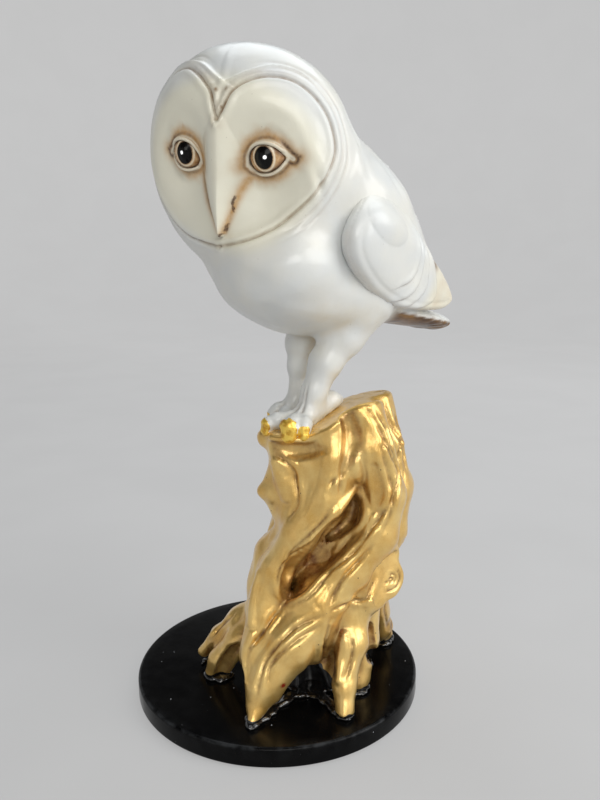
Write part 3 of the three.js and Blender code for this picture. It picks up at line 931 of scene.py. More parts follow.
def wing_form(q):
    """A cushion over the wing's outline, thick at the shoulder and thin at the tip."""
    inward = -inside_loop(q[:, 1:], WING_EDGE)
    thick = np.interp(q[:, 1], [-42, -20, 5, 30, 48], [8.2, 8.4, 7.0, 4.6, 2.2])
    reach = np.interp(q[:, 1], [-42, 0, 48], [15.0, 15.0, 9.0])
    t = np.clip(inward / reach, 0, 1)
    height = thick * np.sqrt(np.clip(1 - (1 - t) ** 2.2, 0, 1))
    surface = (np.abs(q[:, 0]) - height) * 0.6
    return np.where(inward > 0, np.maximum(surface, -inward), np.hypot(inward, q[:, 0]) - 0.05)


def wing_relief(q):
    """The stepped feather edges, the bulge of the shoulder, and the wash along the steps."""
    flat = q[:, 1:]
    outside = ramp(q[:, 0], -1, 1.5)
    rise = np.zeros(len(q))
    wash = np.zeros(len(q))
    for i, line in enumerate(LAYERS):
        path = smooth_line(line, 7)
        d, share, offset, tangent = nearest(flat, path)
        turned = tangent[:, 0] * offset[:, 1] - tangent[:, 1] * offset[:, 0]
        s = np.where(turned > 0, d, -d)
        fade = np.sin(np.pi * np.clip(share, 0.02, 0.98)) ** 0.4
        lip = 0.7 * bell(s + 1.2, 1.6) * (s < 0.3)
        step = -1.15 * ramp(s, -0.25, 0.35) * np.exp(-np.clip(s, 0, None) / 3.2)
        rise += fade * (lip + step)
        wash = np.maximum(wash, fade * bell(s - 0.3, 0.7) * (0.55 + 0.12 * i))
    bulge = ((flat[:, 0] + 21) / 13) ** 2 + ((flat[:, 1] - 8) / 8.5) ** 2
    rise += 1.3 * np.clip(1 - bulge, 0, 1) ** 0.8
    edge = -inside_loop(flat, WING_EDGE)
    low = ramp(-flat[:, 1], -4, 6)
    rise += low * (0.25 * bell(edge - 1.6, 1.0) - 0.2 * bell(edge - 3.6, 0.9))
    return rise * outside, wash * outside


def wing(side, name, node, material):
    def form(p):
        return wing_form(to_wing(p, side))

    centre = on_body(side * WING_AT[0], *WING_AT[1:])
    skin = Skin(name, *polygonise(form, centre - WING_HALF, centre + WING_HALF, cell("wing"), margin=4))
    skin.relax(2)
    skin.settle(form, 1)
    skin.refine(lambda p: to_wing(p, side)[:, 0] > -1)
    skin.settle(form, 1)
    skin.relax(2)
    p, n = skin.points(), skin.normals()
    q = to_wing(p, side)
    rise, wash = wing_relief(q)
    rise += 0.28 * noise(p, 11.0, 2.3)
    skin.move(p + rise[:, None] * n)
    tip = ramp(q[:, 1], 20, 34) * (0.6 + 0.4 * noise(p, 5.0, 8.1))
    spot = bell(length(q[:, 1:] - np.array([24, 8.0])), 2.8)
    edge = bell(-inside_loop(q[:, 1:], WING_EDGE), 0.7) * ramp(-q[:, 2], -2, 8)
    skin.fields = {
        "crease": np.clip(wash + 0.1 * edge, 0, 1),
        "brown": np.clip(0.8 * spot, 0, 1),
        "tan": np.clip(0.3 * tip + 0.5 * spot + 0.08 * edge, 0, 1),
        "disc": ramp(q[:, 1], 20, 30),
    }
    return skin.finish(name, material, node)


# ---- The stump, in its own axes: x to its right, y to its back ----

STUMP = turn("z", STUMP_TURN)
# Chains of balls: x, y, z and radius. The core, the strands of wood round it, and the roots.
CORE = [(20, -4, 6, 27), (22, -2, 30, 25), (27, -2, 70, 24), (32, -2, 105, 25), (30, -2, 132, 24)]
STRANDS = [
    [(47.5, 2, 146, 9), (51.5, -1, 125, 9.6), (55.6, -1, 103, 10.8), (53.6, -3, 82, 10), (50, -8, 72, 8)],
    [(39, -20, 150, 10), (44, -24, 128, 10), (51, -24, 106, 9), (47, -27, 88, 9), (35, -30, 72, 9),
     (20, -32, 57, 11), (7, -38, 40, 11), (-5, -44, 23, 9)],
    [(27, -22.5, 143, 10.5), (29, -26, 125, 11), (24, -29, 106, 9), (12, -29, 90, 8), (1, -28, 72, 8),
     (-4, -29, 53, 9), (-8, -36, 34, 8)],
    [(6, -22, 135, 8), (8, -20, 124, 9), (9, -18, 110, 9), (10, -18, 100, 9), (11, -18, 88, 9.3),
     (6, -18, 77, 9.4), (0, -17, 68, 9.4), (-3.5, -17, 58, 9), (-4.5, -18, 46, 9.5)],
    [(20, -12, 131, 10), (5, -16, 131, 8.4), (-2.5, -15, 131.5, 5.5)],
    [(17, -21, 134, 8), (18, -22.5, 121, 9), (16, -22.5, 108, 9), (11, -22, 96, 8)],
    [(12, -13, 88, 9), (-0.6, -12.5, 72.5, 9.2), (-3, -11, 62, 9.2), (-4, -9, 52, 9.2), (-3, -8, 46, 10)],
    [(22, -24, 60, 12.5), (18, -28.5, 46, 12.5), (16, -30.5, 37, 10)],
    [(46, 14, 140, 10), (48, 22, 110, 10), (40, 24, 80, 10), (30, 24, 50, 11)],
    [(28, 20, 134, 10), (30, 24, 105, 10), (20, 22, 75, 10), (8, 20, 50, 10)],
    [(12, 4, 132, 10), (14, 8, 105, 10), (8, 6, 75, 12), (2, 6, 50, 12)],
    [(7.6, -15, 124, 8), (-4.5, -16, 106, 2.3), (10, -15, 90, 8)],
    [(12, -20, 112, 8), (0, -18, 106, 5)],
    [(36, -14, 74, 10), (44, -17, 67, 9.5), (51, -22, 65.5, 7.8)],
    [(46, -18, 86, 8.5), (48.5, -19, 76, 9), (49, -20, 68, 8.5)],
    [(34, -27, 50, 8), (42, -26, 58, 8.6), (49, -24, 64, 8.6)],
]
ROOTS = [
    [(8, -36, 42, 9.5), (-3.5, -42, 26, 7.6), (-8, -49, 16, 4.4), (-10.8, -57, 10.5, 0.9)],
    [(-2, -8, 44, 9), (-18, -7, 35, 7), (-29, -5, 26, 4.6), (-37, -3, 17, 3.4)],
    [(-3, -14, 42, 9), (-17, -16, 31, 7), (-27, -15, 19, 6), (-31, -14, 8, 5.4)],
    [(36, -25, 52, 9), (35, -33, 38, 7.4), (31.5, -42, 22, 5.0), (31.5, -49, 9, 3.9)],
    [(42, -15, 48, 8), (41, -19, 31, 8), (38, -25, 14, 6), (38, -26, 8, 5)],
    [(49, 3, 42, 7), (54, 12, 22, 6), (57, 22, 8, 4.5)],
    [(29, 25, 46, 9), (26, 34, 24, 8), (24, 44, 8, 5)],
    [(6, 20, 46, 9), (-4, 28, 25, 8), (-12, 36, 8, 5)],
]


def stump_top(q):
    """Height of the worn top: level at the lip, climbing to the right, falling away at the back."""
    x, y = q[:, 0], q[:, 1]
    climb = 0.42 * np.clip(x - 14, 0, 24) + 0.22 * np.maximum(x - 38, 0)
    rim = 3.5 * ramp(x, 22, 36) * ramp(-y, 14, 30)
    return 136 + climb + rim - 0.19 * np.maximum(y - 8, 0)


def stump_bulk(q):
    """The stump before anything is carved, in its own axes."""
    whole = limb(q, CORE)
    for strand in STRANDS + ROOTS:
        whole = soft_min(whole, limb(q, strand, 3), 3.5)
    return whole


def seated(form, marks):
    """Sets marks given as (x, z, ...) on the stump's near face, adding their depth y."""
    marks = np.asarray(marks, float)
    depth = np.arange(-64.0, 14.0, 0.6)
    q = np.empty((len(marks), len(depth), 3))
    q[:, :, 0], q[:, :, 1], q[:, :, 2] = marks[:, :1], depth, marks[:, 1:2]
    inside = form(q.reshape(-1, 3)).reshape(q.shape[:2]) < 0
    y = np.where(inside.any(1), depth[inside.argmax(1)], 10.0)
    return np.column_stack([marks[:, 0], y, marks[:, 1:]])


def pressed(marks, sink):
    """A line of balls (x, z, radius) set on the trunk's near face and sunk into it."""
    line = seated(stump_bulk, marks)
    line[:, 1] += sink
    return smooth_line(line, 3)


# Hollows pressed into the trunk and raised cords laid along it: each one's x, z and radius along
# its length, and how far it is sunk.
HOLLOWS = [
    ([(0, 130, 2.6), (5, 128.5, 3.6), (11, 128.5, 3.6), (17, 129.5, 2.8), (22, 131, 1.4)], -1.4),
    ([(32, 147, 2.4), (35, 138, 3.6), (34, 129, 3.4), (31, 121, 2.4)], -1.2),
    ([(35, 105, 2.0), (35.5, 99, 3.2), (33, 92.5, 3.6), (28, 88, 2.8), (22, 83, 1.8)], 3.0),
    ([(17, 86, 3.0), (12, 79, 6.0), (9.5, 72, 6.0)], -3.6),
    ([(45, 122, 2.0), (47, 112, 2.6), (46, 102, 2.0)], -1.4),
    ([(15, 22, 4.0), (17, 14, 6.0), (18, 6, 7.0)], 1.0),
    ([(-18, 30, 1.6), (-24, 22, 3.0), (-27, 12, 3.6)], 0.5),
    ([(44, 40, 2.0), (46, 26, 3.2), (47, 10, 4.0)], 0.5),
]
CORDS = [
    ([(35, 110.5, 2.2), (29, 104, 2.4), (22, 99, 2.4), (15, 91, 2.3), (9, 84, 2.2), (4, 76, 2.1),
      (1, 70, 2.0), (1, 65, 1.9), (4, 60, 1.5)], 0.5),
    ([(36, 111.5, 2.2), (40.5, 107, 2.4), (42, 101, 2.2), (40, 94.5, 2.0), (34, 87.5, 2.0),
      (28, 80, 1.7)], 0.5),
    ([(46, 93, 1.6), (38, 85, 2.2), (30, 77, 2.6), (22, 70, 2.8), (14, 63, 2.6), (5, 56, 2.2),
      (-3, 48, 1.8)], 0.4),
    ([(2, 122, 3.0), (5, 115, 4.8), (7, 107, 3.4)], 2.0),
    ([(34, 128, 2.6), (37, 119, 3.2), (39, 113, 2.4)], 1.2),
    ([(-10, 46, 1.6), (-13, 35, 2.0), (-12.5, 27, 1.2)], 0.7),
    ([(32, 44, 1.8), (30, 34, 2.0), (29, 26, 1.8)], 0.6),
    ([(24, 52, 1.6), (21, 44, 2.0), (19, 34, 1.6)], 0.6),
    ([(-7, 72, 1.4), (-9, 62, 1.8), (-10, 50, 1.8)], 0.5),
    ([(0, 134, 1.6), (8, 133.5, 2.0), (16, 134, 2.0), (24, 139.5, 2.0), (30, 144, 2.0)], 0.6),
]
HOLLOW_LINES = [pressed(marks, sink) for marks, sink in HOLLOWS]
CORD_LINES = [pressed(marks, sink) for marks, sink in CORDS]
KNOT_AT, KNOT_OUT = np.array([52.8, -25.0, 65.4]), np.array([0.50, -0.84, 0.21])


def carved(q):
    """The stump with its cords, hollows, cut branch, worn top and flat foot."""
    whole = stump_bulk(q)
    for cord in CORD_LINES:
        whole = soft_min(whole, limb(q, cord, 0), 1.8)
    for hollow_line in HOLLOW_LINES:
        whole = soft_max(whole, -limb(q, hollow_line, 0), 2.4)
    knot = limb(q, [(43, -13, 64, 9), (*(KNOT_AT - 4 * KNOT_OUT), 8.0), (*KNOT_AT, 7.4)])
    whole = soft_min(whole, knot, 3.5)
    near = length(q - KNOT_AT) < 14
    ahead = (q - KNOT_AT) @ KNOT_OUT / length(KNOT_OUT) - 2.2
    whole = np.where(near, soft_max(whole, ahead, 1.0), whole)
    whole = soft_max(whole, q[:, 2] - stump_top(q), 3)
    return soft_max(whole, STUMP_FOOT - q[:, 2], 0.6)


def stump_form(p):
    return carved(p @ STUMP)


ARCH_AT = np.array([16.5, -26.0, 11.0])  # the opening under the trunk: adhesive at its foot, and painted shadow in black inside it
RED_DROP = np.array([4.2, 26.5])  # x and z of a small red drop on the front root

# Creases cut along the near face: x and z.
CUTS = [
    [(40, 149), (45, 142), (49, 134), (52, 127), (56, 118), (54, 110), (52, 101), (49, 93)],
    [(51, 147), (54, 138), (57, 131), (61, 121), (63, 112)],
    [(61, 129), (59, 124), (57, 116)],
    [(49, 133), (48, 129), (52, 116), (53, 108), (47, 98), (40, 89), (33, 81)],
    [(28, 119), (25, 115.5)],
    [(30.5, 122), (29.8, 116), (29.5, 111)],
    [(26, 106), (21, 98), (13, 90), (5, 81)],
    [(0, 126), (4, 125), (9, 120), (10.5, 113), (11, 105), (7, 97)],
    [(13, 86), (5, 79), (2, 74), (1.5, 68)],
    [(40, 88), (35, 83), (26, 76), (20, 69), (13, 63), (5, 58)],
    [(44, 87), (39, 81), (32, 74), (27, 66), (24, 60)],
    [(4, 57), (-1, 53), (-6, 46), (-11, 40), (-13, 33)],
    [(22, 57), (12, 53), (5, 48), (-2, 40), (-6, 31), (-8, 22)],
    [(20, 52), (8, 46), (-1, 37), (-3, 29)],
    [(25, 55), (23, 45), (22, 36), (22, 24)],
    [(35, 44), (35, 36), (32, 27)],
    [(-34, 25), (-28, 33), (-20, 42)],
    [(-26, 21), (-22, 29), (-17, 33)],
    [(46, 69), (41, 60), (30, 60), (25, 58)],
    [(45, 147), (50, 138), (53, 129), (55, 121)],
]


def branch_rings(q):
    """Broken growth rings on the face of the cut branch."""
    out = KNOT_OUT / length(KNOT_OUT)
    ring = q - (KNOT_AT + 2.2 * KNOT_OUT)
    along = ring @ out
    around = length(ring - along[:, None] * out)
    angle = np.arctan2(ring[:, 2], ring[:, 0])
    wobble = 0.35 * np.sin(2 * angle + 0.6)
    marks = bell(around - 0.9, 0.38)
    marks += bell(around - 2.7 - wobble, 0.42) * (np.sin(angle * 1.5 + 1) > -0.3)
    marks += bell(around - 5.0 - wobble, 0.42) * (np.sin(angle + 2.2) > 0.1)
    return marks * (np.abs(along) < 2.5) * (around < 7.2)


def stump_relief(q):
    """The rise along each normal, how deeply cut each point is, and the worn top."""
    rise = np.zeros(len(q))
    cut = np.zeros(len(q))
    for line in CUTS:
        d, share, _, _ = nearest(q, seated(carved, smooth_line(line, 5)))
        fade = np.sin(np.pi * np.clip(share, 0.01, 0.99)) ** 0.5
        wander = d + 0.3 * noise(q, 4.0, 1.1)
        rise += fade * (-1.1 * bell(wander, 0.85) + 0.5 * bell(d - 2.4, 1.4))
        cut = np.maximum(cut, fade * bell(wander, 0.8))
    spread = np.array([1.0, 1.0, 0.16])
    long_grain = noise(q * spread, 3.4, 6.3)
    cracks = bell(noise(q * [1, 1, 0.12], 6.5, 12.9), 0.075)
    back = ramp(q[:, 1], -14, 4)
    rise += 0.3 * long_grain + 0.55 * noise(q * [1, 1, 0.4], 7.5, 2.0)
    rise += -0.8 * cracks * (0.15 + 0.85 * back)
    cut = np.maximum(cut, cracks * back)
    top = ramp(q[:, 2] - stump_top(q), -2.0, -0.3)
    rise = rise * (1 - 0.7 * top)
    rings = branch_rings(q)
    rise += -0.8 * rings
    cut = np.maximum(cut, rings)
    return rise, cut, top


def stump(material):
    skin = Skin("stump", *polygonise(stump_form, *STUMP_BOX, cell("stump")))
    skin.settle(stump_form, 2)
    skin.refine(lambda p: np.ones(len(p), bool))
    skin.settle(stump_form, 2)
    p, n = skin.points(), skin.normals()
    q = p @ STUMP
    rise, cut, top = stump_relief(q)
    # The deep field darkens the gold: partly a brown wash in recesses, partly painted shade in hollows.
    deep = hollow(stump_form, p, n, 4.0)
    wide = hollow(stump_form, p, n, 11.0)
    low = ramp(q[:, 2], 11.4, 12.4)
    skin.move(p + (rise * low)[:, None] * n)
    foot = 1 - ramp(q[:, 2] + 1.2 * noise(q, 3.0, 4.0), 12.4, 13.6)
    # Painted shadow: inside the arch the stump takes the same black as its foot.
    arch = length((q - ARCH_AT) / [11, 13, 14]) + 0.12 * noise(q, 3.0, 9.0)
    foot = np.maximum(foot, 1 - ramp(arch, 0.9, 1.05))
    skin.fields = {
        "deep": np.clip(0.6 * deep + 0.6 * wide, 0, 1),
        "cut": np.clip(cut, 0, 1),
        "flat_top": top * ramp(n[:, 2], 0.55, 0.9),
        "foot": foot,
        "red": (1 - ramp(length(q[:, [0, 2]] - RED_DROP), 0.8, 1.4)) * (q[:, 1] < -25),
    }
    return skin.finish("stump_casting", material, "stump")


# ---- Plinth and the adhesive it carries ----

BED_LOW, BED_HIGH = 10.05, 12.0
# The adhesive fills the arch between the two front roots: x, y, z, radius in the stump's axes.
BED_POOL = [(-8.5, -53, 12.5, 2.2), (-1, -44, 12.5, 2.6), (7, -34, 12.5, 3.0), (15, -30.5, 12.5, 3.4),
            (21, -33.5, 12.5, 3.2), (25.5, -40, 12.5, 3.2), (31, -48, 12.5, 3.8)]


def bed_form(p):
    """A lumpy bead round the roots, as wide as the stump's foot and a little more."""
    q = p @ STUMP
    lumps = 0.9 * noise(p, 4.2, 7.7) + 0.6 * noise(p, 2.0, 3.3)
    ground = np.stack([q[:, 0], q[:, 1], np.full(len(q), 12.5)], 1)
    pool = limb(ground, smooth_line(BED_POOL, 3))
    around = soft_min(stump_bulk(ground) - 1.1, pool, 2) - lumps
    top = p[:, 2] - BED_HIGH - 0.5 * lumps
    mound = soft_max(around, top, 2.4)
    return soft_max(mound, BED_LOW - p[:, 2], 0.3)


def bed(material):
    skin = Skin("adhesive", *polygonise(bed_form, *BED_BOX, cell("bed")))
    skin.settle(bed_form, 2)
    return skin.finish("adhesive_bead", material, "adhesive_bed")


def arc(centre, radius, start, stop, steps):
    angles = np.radians(np.linspace(start, stop, steps + 1))
    return [(centre[0] + radius * math.cos(a), centre[1] + radius * math.sin(a)) for a in angles]


def plinth(material):
    """A turned disc with softened rims, very slightly out of round, and a recess for the felt."""
    recess, underside, felt_wall = 2.3, 0.6, 64.3
    profile = [(0, recess), (32, recess), (felt_wall, recess), (felt_wall, underside)]
    profile += arc((PLINTH_RADIUS - 1.0, underside + 1.0), 1.0, -90, 0, 6)
    profile += arc((PLINTH_RADIUS - 1.6, PLINTH_TOP - 1.6), 1.6, 0, 90, 10)
    profile += [(r, PLINTH_TOP) for r in (64, 58, 50, 40, 28, 14, 0)]
    skin = Skin("plinth", *ringed(profile, 240))
    p = skin.points()
    radius = np.hypot(p[:, 0], p[:, 1])
    swell = 0.04 * np.sin(3 * np.arctan2(p[:, 1], p[:, 0]) + 1) * ramp(radius, 60, 69)
    skin.move(p * np.stack([1 + swell / np.maximum(radius, 1)] * 2 + [np.ones(len(p))], 1))
    work = bmesh.new()
    work.from_mesh(skin.mesh)
    bmesh.ops.remove_doubles(work, verts=work.verts, dist=1e-4)
    bmesh.ops.recalc_face_normals(work, faces=work.faces)
    work.to_mesh(skin.mesh)
    work.free()
    p = skin.points()
    inward = PLINTH_RADIUS - np.hypot(p[:, 0], p[:, 1])
    skin.fields = {"worn": bell(inward - 0.6, 0.8) * bell(p[:, 2] - PLINTH_TOP + 0.5, 0.8)}
    return skin.finish("plinth_disc", material, "plinth")


# ---- Materials ----

class Paint:
    """A small helper for building a node material around one Principled shader."""

    def __init__(self, name):
        self.material = bpy.data.materials.new(name)
        self.material.use_nodes = True
        self.nodes = self.material.node_tree.nodes
        self.links = self.material.node_tree.links
        self.shader = self.nodes["Principled BSDF"]

    def plug(self, source, target):
        if hasattr(source, "is_output"):
            self.links.new(source, target)
        else:
            target.default_value = source

    def field(self, name):
        node = self.nodes.new("ShaderNodeAttribute")
        node.attribute_name = name
        return node.outputs["Fac"]

    def place(self):
        return self.nodes.new("ShaderNodeTexCoord").outputs["Object"]

    def stretched(self, scale):
        node = self.nodes.new("ShaderNodeMapping")
        node.inputs["Scale"].default_value = scale
        self.links.new(self.place(), node.inputs["Vector"])
        return node.outputs["Vector"]

    def noise(self, size, detail=3.0, rough=0.5, vector=None):
        node = self.nodes.new("ShaderNodeTexNoise")
        node.inputs["Scale"].default_value = 1 / (size * MM)
        node.inputs["Detail"].default_value = detail
        node.inputs["Roughness"].default_value = rough
        self.links.new(vector or self.place(), node.inputs["Vector"])
        return node.outputs["Fac"]

    def cells(self, size):
        node = self.nodes.new("ShaderNodeTexVoronoi")
        node.inputs["Scale"].default_value = 1 / (size * MM)
        self.links.new(self.place(), node.inputs["Vector"])
        return node.outputs["Distance"]

    def spread(self, value, low, high, to_low=0.0, to_high=1.0):
        node = self.nodes.new("ShaderNodeMapRange")
        limits = {"From Min": low, "From Max": high, "To Min": to_low, "To Max": to_high}
        for key, number in limits.items():
            node.inputs[key].default_value = number
        self.plug(value, node.inputs["Value"])
        return node.outputs["Result"]

    def patches(self, size, detail, rough, low, high, to_low=0.0, to_high=1.0):
        """Noise of the given size in mm, with its middle range spread out."""
        return self.spread(self.noise(size, detail, rough), low, high, to_low, to_high)

    def times(self, a, b):
        return self.math("MULTIPLY", a, b)

    def math(self, kind, a, b=0.0, c=0.0):
        node = self.nodes.new("ShaderNodeMath")
        node.operation = kind
        node.use_clamp = kind in ("MULTIPLY", "ADD")
        self.plug(a, node.inputs[0])
        self.plug(b, node.inputs[1])
        self.plug(c, node.inputs[2])
        return node.outputs["Value"]

    def mix(self, factor, a, b):
        node = self.nodes.new("ShaderNodeMix")
        node.data_type = "RGBA"
        self.plug(factor, node.inputs["Factor"])
        for value, key in ((a, "A"), (b, "B")):
            target = [s for s in node.inputs if s.name == key and s.type == "RGBA"][0]
            self.plug(value, target)
        return [s for s in node.outputs if s.type == "RGBA"][0]

    def bump(self, height, depth, strength=1.0, under=None):
        node = self.nodes.new("ShaderNodeBump")
        node.inputs["Strength"].default_value = strength
        node.inputs["Distance"].default_value = depth * MM
        self.plug(height, node.inputs["Height"])
        if under is not None:
            self.links.new(under, node.inputs["Normal"])
        return node.outputs["Normal"]

    def set(self, **values):
        names = {"color": "Base Color", "roughness": "Roughness", "metallic": "Metallic",
                 "normal": "Normal", "coat": "Coat Weight", "coat_roughness": "Coat Roughness",
                 "specular": "Specular IOR Level", "sheen": "Sheen Weight",
                 "coat_normal": "Coat Normal"}
        for key, value in values.items():
            self.plug(value, self.shader.inputs[names[key]])
        return self.material


def rgb(red, green, blue):
    """A colour given as it looks on a screen, 0 to 255."""
    def linear(c):
        c = c / 255
        return c / 12.92 if c <= 0.04045 else ((c + 0.055) / 1.055) ** 2.4
    return (linear(red), linear(green), linear(blue), 1.0)


def white_glaze():
    m = Paint("white_glaze")
    cloud = m.patches(22, 2, 0.5, 0.35, 0.65)
    color = m.mix(cloud, rgb(213, 216, 216), rgb(221, 221, 215))
    color = m.mix(m.times(m.field("disc"), 0.8), color, rgb(232, 229, 209))
    # Painted shade: warm grey-brown darkening where the surface is closed in, broken into patches.
    crevice_shade_patches = m.patches(7, 4, 0.6, 0.3, 0.7)
    closed_in = m.times(m.field("closed_in"), 0.55)
    color = m.mix(m.times(closed_in, crevice_shade_patches), color, rgb(196, 178, 150))
    # Painted shade on the down-facing underside of the body.
    below = m.times(m.field("below"), m.patches(12, 3, 0.5, 0.35, 0.7, 0.1, 0.5))
    color = m.mix(below, color, rgb(206, 190, 158))
    patchy = m.patches(3.0, 5, 0.65, 0.25, 0.65, 0.6, 1.0)
    color = m.mix(m.times(m.field("tan"), patchy), color, rgb(190, 146, 86))
    crease = m.times(m.field("crease"), m.patches(5, 4, 0.6, 0.3, 0.6, 0.35, 1.0))
    color = m.mix(crease, color, rgb(134, 102, 66))
    streaks = m.patches(1.2, 5, 0.7, 0.3, 0.62, 0.55, 1.0)
    color = m.mix(m.times(m.field("brown"), streaks), color, rgb(70, 42, 22))
    tail_tone = m.mix(m.spread(m.noise(4, 4, 0.6, m.stretched((1, 0.25, 1))), 0.35, 0.65),
                      rgb(78, 50, 20), rgb(134, 98, 50))
    color = m.mix(m.field("under_tail"), color, tail_tone)
    claw = m.math("GREATER_THAN", m.field("claw"), 0.5)
    leaf = m.mix(m.patches(2.2, 3, 0.5, 0.34, 0.58), rgb(206, 152, 44), rgb(255, 216, 96))
    color = m.mix(claw, color, leaf)
    dots = m.math("LESS_THAN", m.cells(5.5), 0.035)
    color = m.mix(m.times(dots, 0.35), color, rgb(120, 104, 84))
    swell = m.bump(m.noise(4.5, 2, 0.4), 0.22, 0.5)
    skin = m.bump(m.noise(0.8, 3, 0.55), 0.018, 0.7, swell)
    rough = m.patches(9, 4, 0.6, 0.3, 0.7, 0.3, 0.45)
    return m.set(color=color, roughness=rough, metallic=m.times(claw, 0.6), normal=skin,
                 coat=0.35, coat_roughness=0.12, coat_normal=swell, specular=0.5)


def gold_paint():
    m = Paint("gold_paint")
    cloud = m.patches(13, 4, 0.55, 0.3, 0.7)
    color = m.mix(cloud, rgb(220, 168, 74), rgb(244, 208, 130))
    flakes = m.patches(0.5, 2, 0.6, 0.3, 0.7)
    color = m.mix(m.times(flakes, 0.25), color, rgb(252, 226, 150))
    broken = m.patches(5, 5, 0.65, 0.3, 0.65, 0.35, 1.0)
    # Brown in the hollows: partly a wash in the recesses, partly painted shade.
    deep = m.spread(m.field("deep"), 0.14, 0.66)
    color = m.mix(m.times(deep, broken), color, rgb(116, 66, 8))
    cut = m.times(m.field("cut"), m.patches(3, 4, 0.5, 0.3, 0.6, 0.3, 0.9))
    color = m.mix(cut, color, rgb(104, 60, 16))
    top = m.times(m.field("flat_top"), m.patches(4, 4, 0.6, 0.25, 0.6, 0.6, 1.0))
    color = m.mix(top, color, rgb(246, 204, 112))
    pits = m.times(m.math("LESS_THAN", m.cells(6.5), 0.05), 0.8)
    color = m.mix(pits, color, rgb(84, 52, 18))
    color = m.mix(m.field("red"), color, rgb(190, 44, 18))
    # Black on the stump's foot, and painted shadow inside the arch.
    foot = m.math("GREATER_THAN", m.field("foot"), 0.5)
    color = m.mix(foot, color, rgb(12, 12, 13))
    metallic = m.spread(m.math("ADD", m.times(top, 0.45), m.times(deep, 0.25)),
                        0.0, 1.0, 0.74, 0.2)
    metallic = m.times(metallic, m.math("SUBTRACT", 1.0, foot))
    swell = m.bump(m.noise(3.2, 3, 0.5), 0.25, 0.55)
    skin = m.bump(m.noise(0.6, 3, 0.6), 0.03, 0.6, swell)
    rough = m.patches(6, 4, 0.6, 0.3, 0.7, 0.3, 0.42)
    return m.set(color=color, roughness=rough, metallic=metallic, normal=skin, coat=0.8,
                 coat_roughness=0.26, coat_normal=swell)


def black_lacquer():
    m = Paint("black_lacquer")
    color = m.mix(m.patches(18, 4, 0.5, 0.35, 0.65), rgb(4, 4, 5), rgb(9, 9, 9))
    color = m.mix(m.times(m.field("worn"), m.patches(6, 4, 0.5, 0.4, 0.65, 0.0, 0.55)),
                  color, rgb(70, 72, 74))
    speck = m.math("LESS_THAN", m.cells(9.0), 0.032)
    fine = m.math("LESS_THAN", m.cells(4.0), 0.03)
    dust = m.math("MAXIMUM", speck, m.times(fine, m.patches(25, 2, 0.5, 0.5, 0.62)))
    color = m.mix(m.times(dust, 0.75), color, rgb(190, 194, 200))
    smear = m.patches(10, 5, 0.6, 0.3, 0.7, 0.12, 0.26)
    rough = m.math("ADD", smear, m.times(dust, 0.4))
    orange_peel = m.bump(m.noise(2.2, 2, 0.4), 0.05, 0.4)
    lumps = m.bump(m.spread(m.cells(9.0), 0.0, 0.06, 1.0, 0.0), 0.12, 0.8, orange_peel)
    return m.set(color=color, roughness=rough, normal=lumps, specular=0.08)


def black_adhesive():
    m = Paint("black_adhesive")
    color = m.mix(m.patches(3, 4, 0.5, 0.35, 0.65), rgb(8, 8, 9), rgb(20, 19, 18))
    bubbles = m.spread(m.cells(1.8), 0.0, 0.35, 1.0, 0.0)
    lumps = m.bump(m.noise(1.6, 4, 0.6), 0.3, 0.8)
    skin = m.bump(bubbles, 0.15, 0.5, lumps)
    rough = m.patches(4, 3, 0.5, 0.3, 0.7, 0.05, 0.16)
    return m.set(color=color, roughness=rough, normal=skin, coat=1.0, coat_roughness=0.03)


def painted_eye():
    m = Paint("painted_eye")
    wash = m.patches(2.0, 5, 0.65, 0.3, 0.65)
    color = m.mix(wash, rgb(218, 186, 142), rgb(178, 130, 80))
    color = m.mix(m.times(m.field("rim"), 0.9), color, rgb(92, 56, 28))
    color = m.mix(m.times(m.field("ring"), 0.9), color, rgb(240, 228, 202))
    color = m.mix(m.field("pupil"), color, rgb(10, 8, 8))
    color = m.mix(m.field("glint"), color, rgb(250, 252, 255))
    brushed = m.bump(m.noise(0.7, 3, 0.6), 0.03, 0.5)
    rough = m.patches(1.5, 3, 0.5, 0.3, 0.7, 0.22, 0.3)
    gloss = m.math("SUBTRACT", 0.45, m.times(m.field("pupil"), 0.35))
    m.plug(m.field("glint"), m.shader.inputs["Emission Strength"])
    m.plug(rgb(255, 255, 255), m.shader.inputs["Emission Color"])
    return m.set(color=color, roughness=rough, normal=brushed, specular=gloss, coat=0.15,
                 coat_roughness=0.1)


def black_felt():
    m = Paint("black_felt")
    fibre = m.noise(0.35, 6, 0.75, m.stretched((1, 0.5, 1)))
    color = m.mix(m.spread(fibre, 0.3, 0.7), rgb(20, 20, 22), rgb(44, 44, 46))
    return m.set(color=color, roughness=0.95, normal=m.bump(fibre, 0.3, 0.9), sheen=0.35)


def plated_steel(name, tone, shade, rough_low):
    m = Paint(name)
    color = m.mix(m.patches(1.6, 4, 0.6, 0.3, 0.7), tone, shade)
    drawn = m.bump(m.noise(0.4, 3, 0.6, m.stretched((1, 1, 0.1))), 0.03, 0.6)
    rough = m.patches(1.2, 3, 0.5, 0.3, 0.7, rough_low, rough_low + 0.18)
    return m.set(color=color, roughness=rough, metallic=1.0, normal=drawn)


